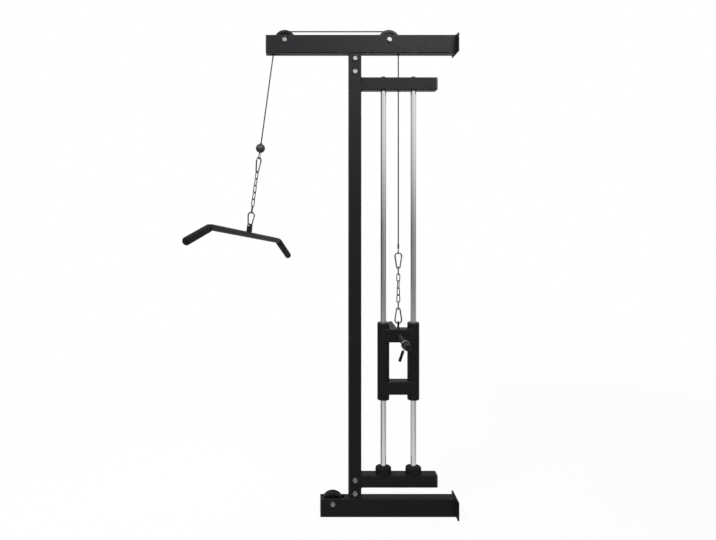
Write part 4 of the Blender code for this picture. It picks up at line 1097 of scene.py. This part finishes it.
low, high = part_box("weight_post")
reach = (high.y - low.y) / 2
tip_radius = POST_RADIUS - POST_TAPER - POST_TIP
tip = [(0, reach), (tip_radius, reach),
       *arc((tip_radius, reach - POST_TIP), POST_TIP, pi / 2, pi / 4, 3)[1:],
       (POST_RADIUS, reach - 2 * POST_TAPER), (POST_RADIUS, reach - 3 * POST_TAPER)]
post = turned([(radius, -height) for radius, height in tip] + tip[::-1], 96, at(*centre) @ TURNS["Y"])
dress("weight_post_bar", post, steel, "weight_post")
crossbar_low, crossbar_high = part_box("upper_crossbar")
rings = [ring_weld(at(centre.x, face, centre.z) @ TURNS["Y"], POST_RADIUS + 0.0010, 48)
         for face in (crossbar_low.y, crossbar_high.y)]
add_on("weight_post_welds", joined(*rings), steel, "carriage")

# A spring clip holds the plates on each side of the post: spring wire wound twice round the bar, with
# its two ends bent out as handles and dipped in ribbed black vinyl. Squeezed together, they let it slide.
NEAR_CLIP_DISTANCE = 0.1865   # from the crossbar's face
FAR_CLIP_DISTANCE = 0.060
FAR_CLIP_TURN = radians(-98.0)
CLIP_WIRE = 0.0025
CLIP_GAP = 0.0003
CLIP_TURNS = 2
CLIP_STEPS = 80
CLIP_HANDLES = (radians(251.0), radians(305.0))
CLIP_LEAD = ((0.0060, 0.12), (0.0038, 0.22), (0.0024, 0.32), (0.0012, 0.44), (0.0004, 0.60))
CLIP_LEAD_END = 0.80
HANDLE_INNER = 0.027
HANDLE_OUTER = 0.0715
HANDLE_RADIUS = 0.0062
HANDLE_RIBS = 7
HANDLE_RIBBED = (0.2, 0.62)   # where the ribs start and how far they reach, as parts of the length
HANDLE_RIB_DEPTH = 0.0005
HANDLE_RIB = (0.63, 0.18)     # a groove's width and its side's, as parts of the ribs' pitch
HANDLE_ROUNDING = 0.0032
CLIP_COIL = POST_RADIUS + CLIP_GAP + CLIP_WIRE
CLIP_SWEEP = tau * CLIP_TURNS + CLIP_HANDLES[1] - CLIP_HANDLES[0]
CLIP_RISE = 2 * (CLIP_WIRE + CLIP_GAP) * CLIP_SWEEP / tau


def clip_point(radius, swept):
    """A point of the wire, this far round from its first handle."""
    angle = CLIP_HANDLES[0] + swept
    height = CLIP_RISE * (min(max(swept / CLIP_SWEEP, 0.0), 1.0) - 0.5)
    return (radius * cos(angle), radius * sin(angle), height)


def groove(radius, depth, start, width, side):
    """The lathe points of a groove round a shape, with two sloping sides."""
    return [(radius, start), (radius - depth, start + side), (radius - depth, start + width - side),
            (radius, start + width)]


def clip_handle():
    """One dipped handle, along Z from its inner to its outer end."""
    length = HANDLE_OUTER - HANDLE_INNER
    pitch = length * HANDLE_RIBBED[1] / HANDLE_RIBS
    profile = [(0, 0), (HANDLE_RADIUS - 0.0010, 0), (HANDLE_RADIUS, 0.0010)]
    for number in range(HANDLE_RIBS):
        start = length * HANDLE_RIBBED[0] + pitch * number
        profile += groove(HANDLE_RADIUS, HANDLE_RIB_DEPTH, start, *[pitch * part for part in HANDLE_RIB])
    return turned([*profile, *rounding(HANDLE_RADIUS, length, HANDLE_ROUNDING, 6), (0, length)], 28)


clip_nickel = plated("dark nickel", 0.16, 0.26)
lead = [(HANDLE_OUTER - 0.004, 0.0), (HANDLE_INNER + 0.004, 0.0), (HANDLE_INNER - 0.002, 0.0)]
lead += [(CLIP_COIL + beyond, swept) for beyond, swept in CLIP_LEAD]
winding = [(CLIP_COIL, CLIP_LEAD_END + (CLIP_SWEEP - 2 * CLIP_LEAD_END) * step / CLIP_STEPS)
           for step in range(CLIP_STEPS + 1)]
out = [(radius, CLIP_SWEEP - swept) for radius, swept in reversed(lead)]
clip_path = [clip_point(*spot) for spot in lead + winding + out]
for node, distance, turn, body in (("near_spring_clip", -NEAR_CLIP_DISTANCE, 0.0, "near_clip"),
                                   ("far_spring_clip", FAR_CLIP_DISTANCE, FAR_CLIP_TURN, "far_clip")):
    face = crossbar_low.y if distance < 0 else crossbar_high.y
    spot = at(centre.x, face + distance, centre.z) @ TURNS["Y"] @ spun(turn, "Z")
    dress(f"{node}_wire", moved(sweep(clip_path, CLIP_WIRE, (0, 0, 1), 14), spot), clip_nickel, node)
    handles = []
    for angle, height in zip(CLIP_HANDLES, (-CLIP_RISE / 2, CLIP_RISE / 2)):
        out = raised(height) @ spun(angle, "Z") @ TURNS["X"] @ raised(HANDLE_INNER)
        handles.append(moved(clip_handle(), spot @ out))
    add_on(f"{node}_handles", joined(*handles), rubber, body)

# The eye is a bar bent into a U and welded on the crossbar, edge on to the side view.
EYE_WIRE = 0.0035
EYE_HALF_WIDTH = 0.008
EYE_SINK = 0.0004
EYE_BEAD = 0.0016

low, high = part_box("carriage_eye")
crown = high.z - EYE_WIRE
foot = crossbar_high.z - EYE_SINK
leg = [(EYE_HALF_WIDTH, foot), (EYE_HALF_WIDTH, (foot + crown) / 2)]
bow = arc((0, crown - EYE_HALF_WIDTH), EYE_HALF_WIDTH, 0, pi, 20)
bow = leg + bow + [(-y, z) for y, z in leg[::-1]]
eye = sweep([(centre.x, y, z) for y, z in bow], EYE_WIRE, (1, 0, 0), 20)
dress("carriage_eye_bar", eye, steel, "carriage_eye")
rings = [ring_weld(at(centre.x, y, crossbar_high.z), EYE_WIRE + 0.0007, 24, EYE_BEAD)
         for y in (-EYE_HALF_WIDTH, EYE_HALF_WIDTH)]
add_on("carriage_eye_welds", joined(*rings), steel, "carriage")

# Spring hooks join the chains to their ends: bar bent into a pear with a slot sawn in its nose, and a
# hinged gate on a rivet, whose tongue shuts into the slot.
HOOK_LENGTH = 0.0725
HOOK_WIDTH = 0.035
HOOK_NARROW_WIDTH = 0.022
HOOK_WIRE = 0.00325
HOOK_TRAVEL = HOOK_LENGTH - 2 * HOOK_WIRE
NOSE_STUB = 0.004
HEEL_STUB = 0.005
NOSE_SLOT = 0.0016
TONGUE = 0.0012
TONGUE_REACH = 0.0030
GATE_RADIUS = 0.0029
RIVET_RADIUS = 0.0012
RIVET_PROUD = 0.0004
HOOK_GAP = 0.0003


def hook_and_gate():
    """The hook and its gate in the XZ plane, with the narrow end's wire centred on z = 0."""
    wide, narrow = HOOK_WIDTH / 2 - HOOK_WIRE, HOOK_NARROW_WIDTH / 2 - HOOK_WIRE
    top = HOOK_TRAVEL - wide
    slope = asin((wide - narrow) / (top - narrow))
    nose = Vector((wide * cos(slope), 0, top - wide * sin(slope)))
    heel = Vector((narrow * cos(slope), 0, narrow - narrow * sin(slope)))
    along = (nose - heel).normalized()
    start, end = nose - along * NOSE_STUB, heel + along * HEEL_STUB
    outline = [(start.x, start.z), *arc((0, top), wide, -slope, pi + slope, 32),
               *arc((0, narrow), narrow, pi + slope, tau - slope, 24), (end.x, end.z)]
    tilt = spun(atan2(along.x, along.z), "Y")
    slot = box_blank((-2 * HOOK_WIRE, -NOSE_SLOT / 2, -0.001),
                     (2 * HOOK_WIRE, NOSE_SLOT / 2, TONGUE_REACH + 0.0006))
    body = carve(sweep(side_path(outline), HOOK_WIRE, (0, 1, 0), 20), [moved(slot, at(*start) @ tilt)])
    pivot = end + along * (GATE_RADIUS + HOOK_GAP)
    length = (start - pivot).length - HOOK_GAP
    stem = turned([(0, -GATE_RADIUS), *rounding(GATE_RADIUS, -GATE_RADIUS, GATE_RADIUS, 6, True)[1:],
                   *rounding(GATE_RADIUS, length, GATE_RADIUS, 6)[:-1], (0, length)], 24)
    tongue = box_blank((-0.0016, -TONGUE / 2, length - 0.001), (0.0016, TONGUE / 2, length + TONGUE_REACH))
    reach = GATE_RADIUS + RIVET_PROUD
    rivet = turned(disc(RIVET_RADIUS, -reach, reach), 16, TURNS["Y"])
    gate = moved(joined(stem, break_edges(tongue, BOLT_EDGE), rivet), at(*pivot) @ tilt)
    return body, gate


chain_zinc = plated("chain zinc", 0.14, 0.30)


def hang_hook(node, gate_node, place, flipped=False):
    body, gate = hook_and_gate()
    if flipped:
        place = place @ raised(HOOK_TRAVEL) @ spun(pi, "Y")
    dress(f"{node}_hook", moved(body, place), chain_zinc, node)
    dress(f"{gate_node}_bar", moved(gate, place), chain_zinc, gate_node)


# Each chain has six welded oval links. The joint in each link shows as a slight swelling on one side.
CHAIN_LINKS = 6
LINK_WIDTH = 0.0175
LINK_WIRE = 0.00225
CHAIN_SPAN = 0.1848           # between the middles of the end links' outer wires
LINK_SWELLING = 0.14
LINK_SWELLING_LENGTH = 0.0022
LINK_STEP = 0.0011
REAR_LINK_TURNS = (90.0, 4.0, 52.0, -50.0, 8.0, 90.0)
FRONT_LINK_TURNS = (-37.0, 57.0, -35.0, 50.0, -28.0, 78.0)


def chain_link(length):
    """A link in the XZ plane, centred, with its weld on the +X side."""
    bend = LINK_WIDTH / 2 - LINK_WIRE
    reach = length / 2 - bend
    outline = arc((0, reach), bend, 0, pi, 16) + arc((0, -reach), bend, pi, tau, 16)
    points = evenly(side_path(outline), LINK_STEP)
    radii = []
    for point in points:
        near = max(0.0, 1 - (abs(point.z) / LINK_SWELLING_LENGTH) ** 2) if point.x > 0 else 0.0
        radii.append(LINK_WIRE * (1 + LINK_SWELLING * near))
    return sweep(points, radii, (0, 1, 0), 12, closed=True)


def hang_chain(node, top, place, turns):
    length = (CHAIN_SPAN + 2 * (CHAIN_LINKS - 1) * LINK_WIRE) / CHAIN_LINKS
    pitch = length - 2 * LINK_WIRE
    links = []
    for number, turn in enumerate(turns):
        spot = raised(top - length / 2 - number * pitch) @ spun(radians(turn), "Z")
        links.append(moved(chain_link(length), place @ spot))
    dress(f"{node}_links", joined(*links), chain_zinc, node)


HOOK_TO_LINK = HOOK_WIRE + LINK_WIRE + HOOK_GAP
on_cable = at(centre.x, 0, 0)
low_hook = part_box("carriage_carabiner")[0].z + HOOK_WIRE
chain_top = low_hook + HOOK_TRAVEL - HOOK_TO_LINK + CHAIN_SPAN
high_hook = chain_top - HOOK_TO_LINK
hang_hook("carriage_carabiner", "carriage_carabiner_gate", on_cable @ raised(low_hook), flipped=True)
hang_chain("carriage_chain", chain_top, on_cable, REAR_LINK_TURNS)
hang_hook("cable_carabiner", "cable_carabiner_gate", on_cable @ raised(high_hook))

# The cable ends in a loop of its own rope, held by a black pressed ferrule with three crimps.
LOOP_WIRE = 0.00175
LOOP_HALF_WIDTH = 0.006
LOOP_LENGTH = 0.0235
NECK_RADIUS = 0.00425
NECK_LENGTH = 0.021
CRIMP_DEPTH = 0.0005
CRIMP_WIDTH = 0.0032
FERRULE_EDGE = 0.0007
LOOP_SINK = 0.004


def rope_loop():
    """A teardrop loop in the YZ plane that hangs below z = LOOP_LENGTH."""
    bend, waist = LOOP_HALF_WIDTH, LOOP_WIRE
    slant = asin((bend - waist) / (LOOP_LENGTH - bend))
    outline = [(waist, LOOP_LENGTH + LOOP_SINK), (waist, LOOP_LENGTH + 0.001),
               *arc((0, bend), bend, slant, -pi - slant, 32),
               (-waist, LOOP_LENGTH + 0.001), (-waist, LOOP_LENGTH + LOOP_SINK)]
    return sweep([(0, y, z) for y, z in outline], LOOP_WIRE, (1, 0, 0), 14)


def ferrule(length, crimps):
    """A pressed sleeve standing on z = LOOP_LENGTH."""
    profile = [(0, 0), (NECK_RADIUS - FERRULE_EDGE, 0), (NECK_RADIUS, FERRULE_EDGE)]
    for number in range(crimps):
        middle_of_crimp = length * (number + 0.6) / (crimps + 0.5)
        profile += groove(NECK_RADIUS, CRIMP_DEPTH, middle_of_crimp - CRIMP_WIDTH / 2, CRIMP_WIDTH,
                          CRIMP_WIDTH / 4)
    profile += [(NECK_RADIUS, length - FERRULE_EDGE), (NECK_RADIUS - FERRULE_EDGE, length), (0, length)]
    return turned(profile, 32, raised(LOOP_LENGTH))


loop = on_cable @ raised(high_hook + HOOK_TRAVEL - HOOK_WIRE - LOOP_WIRE - HOOK_GAP)
dress("cable_end_ferrule", moved(ferrule(NECK_LENGTH, 3), loop), plastic, "cable_end_fitting")
add_on("cable_end_loop", moved(rope_loop(), loop), jacket, "carriage")

# The ball is a solid black plastic stop moulded in two halves, with a short collar where the cable
# goes in. It stops the line at the pulley when the bar is let go.
BALL_SOCKET = 0.008
COLLAR_RADIUS = 0.0050
COLLAR_HEIGHT = 0.0045
COLLAR_ROUNDING = 0.0009
SEAM_WIDTH = 0.0007
SEAM_HEIGHT = 0.0003
NECK_HOLE = NECK_RADIUS + 0.0003
CABLE_HOLE = CABLE_RADIUS + 0.0003

line = at(*line_start) @ spun(LINE_TILT, "Y")
ball_drop = (line.inverted() @ ball).z
seam = SEAM_WIDTH / BALL_RADIUS
low_rim = sqrt(BALL_RADIUS ** 2 - NECK_HOLE ** 2)
foot = sqrt(BALL_RADIUS ** 2 - COLLAR_RADIUS ** 2)
depth = BALL_RADIUS - BALL_SOCKET
profile = [(0, -depth), (NECK_HOLE, -depth), (NECK_HOLE, -low_rim),
           *arc((0, 0), BALL_RADIUS, -acos(NECK_HOLE / BALL_RADIUS), -seam, 28)[1:],
           (BALL_RADIUS + SEAM_HEIGHT, -SEAM_WIDTH / 3), (BALL_RADIUS + SEAM_HEIGHT, SEAM_WIDTH / 3),
           *arc((0, 0), BALL_RADIUS, seam, acos((COLLAR_RADIUS + 0.0012) / BALL_RADIUS), 28),
           (COLLAR_RADIUS + 0.0002, foot + 0.0007), (COLLAR_RADIUS, foot + 0.0014),
           *rounding(COLLAR_RADIUS, foot + COLLAR_HEIGHT, COLLAR_ROUNDING, 4),
           (CABLE_HOLE, foot + COLLAR_HEIGHT), (CABLE_HOLE, depth), (0, depth)]
dress("ball_stopper_ball", turned(profile, 72, line @ raised(ball_drop)), plastic, "ball_stopper")

# Below the ball hang a small rope eye, a hook, the chain and a second hook, which is free to turn.
BALL_NECK_LENGTH = 0.010
EYE_TURN = radians(53.0)
BAR_TURN = radians(-16.7)

eye = ball_drop - BALL_RADIUS + BALL_SOCKET - HOOK_GAP - BALL_NECK_LENGTH - LOOP_LENGTH
eye_rope = joined(ferrule(BALL_NECK_LENGTH, 1), rope_loop())
dress("ball_eye_rope", moved(eye_rope, line @ raised(eye) @ spun(EYE_TURN, "Z")), chain_zinc, "ball_eye")
upper_hook = eye + HOOK_WIRE + LOOP_WIRE + HOOK_GAP - HOOK_TRAVEL
hang_hook("upper_handle_carabiner", "upper_handle_gate", line @ raised(upper_hook) @ spun(EYE_TURN, "Z"))
chain_top = upper_hook + HOOK_TO_LINK
hang_chain("handle_chain", chain_top, line, FRONT_LINK_TURNS)
swivel = line @ raised(chain_top - CHAIN_SPAN + HOOK_TO_LINK - HOOK_TRAVEL)
hang_hook("lower_handle_carabiner", "lower_handle_gate", swivel @ spun(BAR_TURN, "Z"))

# The lat bar is a round steel tube bent down at both ends and powder coated like the frame.
BAR_RADIUS = 0.0125
BAR_STRAIGHT = 0.755
BAR_END_LENGTH = 0.191
BAR_END_DROP = radians(20.2)
BAR_BEND_RADIUS = 0.060
BAR_RISE = radians(-6.2)
BAR_ROLL = radians(5.3)
BAR_DROP = 0.040
BOLT_OVER_HOOK = 0.00755      # middle of the hook's wire up to the middle of the clevis bolt
BEND_STEPS = 16

bar_place = swivel @ raised(BOLT_OVER_HOOK) @ spun(-LINE_TILT, "Y")
bar_place = bar_place @ spun(BAR_TURN, "Z") @ spun(BAR_RISE, "X") @ spun(BAR_ROLL, "Y")
corner = BAR_STRAIGHT / 2
leg = BAR_BEND_RADIUS * tan(BAR_END_DROP / 2)
half_bar = [(corner + BAR_END_LENGTH * cos(BAR_END_DROP),
             -BAR_DROP - BAR_END_LENGTH * sin(BAR_END_DROP))]
half_bar += arc((corner - leg, -BAR_DROP - BAR_BEND_RADIUS), BAR_BEND_RADIUS, pi / 2 - BAR_END_DROP,
                pi / 2, BEND_STEPS)
bar_path = [(0, y, z) for y, z in half_bar] + [(0, -y, z) for y, z in reversed(half_bar)]
dress("lat_bar_tube", moved(sweep(bar_path, BAR_RADIUS, (1, 0, 0), 64), bar_place), steel, "lat_bar")

# The grips are moulded rubber sleeves pushed over the bar's ends, thick, closed and rounded at the
# tip, with three finger rings behind a raised lip.
GRIP_START = 0.014
GRIP_BORE = BAR_RADIUS + 0.0003
GRIP_RADIUS = GRIP_BORE + 0.0028
GRIP_ROUNDING = 0.007
GRIP_LIP = 0.0008
GRIP_END = BAR_END_LENGTH + 0.0031
GRIP_FLOOR = BAR_END_LENGTH + 0.0003
RING_PITCH = 0.0052
RING_WIDTH = 0.0022
RING_DEPTH = 0.0006
RINGS = 3

profile = [(0, GRIP_FLOOR), (GRIP_BORE, GRIP_FLOOR), (GRIP_BORE, GRIP_START),
           *rounding(GRIP_RADIUS, GRIP_START, GRIP_LIP, 4, True)]
for number in range(RINGS):
    start = GRIP_START + RING_PITCH * (number + 1)
    profile += groove(GRIP_RADIUS, RING_DEPTH, start, RING_WIDTH, RING_WIDTH / 4)
profile += [*rounding(GRIP_RADIUS, GRIP_END, GRIP_ROUNDING, 10), (0, GRIP_END)]
for node, side in (("near_grip", -1), ("far_grip", 1)):
    place = bar_place @ at(0, side * corner, -BAR_DROP) @ spun(-side * (pi / 2 + BAR_END_DROP), "X")
    dress(f"{node}_sleeve", turned(profile, 64, place), rubber, node)

# The clevis is a strap bent to a U and coped to sit on the bar, welded all round, with a bolt across
# its two round ears.
EAR_THICKNESS = 0.004
EAR_HALF_WIDTH = 0.009
CLEVIS_OPENING = 0.011
COPE_GAP = 0.0002
COPE_DEPTH = 0.0045
CLEVIS_BEAD = 0.0017
CLEVIS_BOLT_RADIUS = 0.004
CLEVIS_FLATS = 0.0095
CLEVIS_HEAD_HEIGHT = 0.0038
CLEVIS_NUT_HEIGHT = 0.0032
CLEVIS_CORNER = 0.0015
CLEVIS_EDGE = 0.0005
CLEVIS_DISH = (0.0005, 0.0018, 0.001, 0.001)
CLEVIS_TIP = (CLEVIS_BOLT_RADIUS * 0.9, 0.004, 0.0010, 0.0004)   # radius, length, pitch, depth

inner, outer = CLEVIS_OPENING / 2, CLEVIS_OPENING / 2 + EAR_THICKNESS
bar_top = BAR_RADIUS - BAR_DROP
outline = arc((0, 0), EAR_HALF_WIDTH, 0, pi, 24)
outline += [(-EAR_HALF_WIDTH, bar_top - COPE_DEPTH), (EAR_HALF_WIDTH, bar_top - COPE_DEPTH)]
clevis = bmesh.new()
strap = clevis.faces.new([clevis.verts.new((x, -outer, z)) for x, z in outline])
grown = bmesh.ops.extrude_face_region(clevis, geom=[strap])["geom"]
grown = [part for part in grown if isinstance(part, bmesh.types.BMVert)]
bmesh.ops.translate(clevis, vec=(0, 2 * outer, 0), verts=grown)
bmesh.ops.recalc_face_normals(clevis, faces=clevis.faces)
opening = box_blank((-2 * EAR_HALF_WIDTH, -inner, bar_top + EAR_THICKNESS), (2 * EAR_HALF_WIDTH, inner, 0.02))
round_edges(opening, [edge for edge in edges_along(opening, "X") if edge.verts[0].co.z < 0],
            CLEVIS_CORNER, 4)
cope = cylinder((0, 0, -BAR_DROP), BAR_RADIUS + COPE_GAP, 0.1, "Y", 96)
bolt_hole = cylinder((0, 0, 0), CLEVIS_BOLT_RADIUS + HOOK_GAP, 0.1, "Y")
clevis = break_edges(carve(clevis, [opening, cope, bolt_hole]), CLEVIS_EDGE)
dress("bar_clevis_strap", moved(clevis, bar_place), steel, "bar_clevis")


def on_bar(x, y):
    return (x, y, sqrt((BAR_RADIUS + COPE_GAP) ** 2 - x ** 2) - BAR_DROP)


across = [EAR_HALF_WIDTH * (number / 8 - 1) for number in range(17)]
seam = [on_bar(x, -outer) for x in across] + [on_bar(x, outer) for x in reversed(across)]
body = frame["nodes"]["bar_clevis"]["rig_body"]
add_on("bar_clevis_weld", moved(weld_bead(seam, (0, 0, 1), CLEVIS_BEAD), bar_place), steel, body)

seat = outer + SEAT_GAP
head = hexagon(CLEVIS_FLATS, CLEVIS_HEAD_HEIGHT)
head = dished(head, CLEVIS_HEAD_HEIGHT, *CLEVIS_DISH)
nut = break_edges(hexagon(CLEVIS_FLATS, CLEVIS_NUT_HEIGHT, True), BOLT_EDGE)
tip = thread(*CLEVIS_TIP)
shank = turned(disc(CLEVIS_BOLT_RADIUS, -seat, seat), 32)
bolt = joined(moved(head, raised(seat)), moved(joined(nut, tip), spun(pi, "X") @ raised(seat)), shank)
dress("clevis_bolt_set", moved(bolt, bar_place @ TURNS["Y"]), zinc, "clevis_bolt")
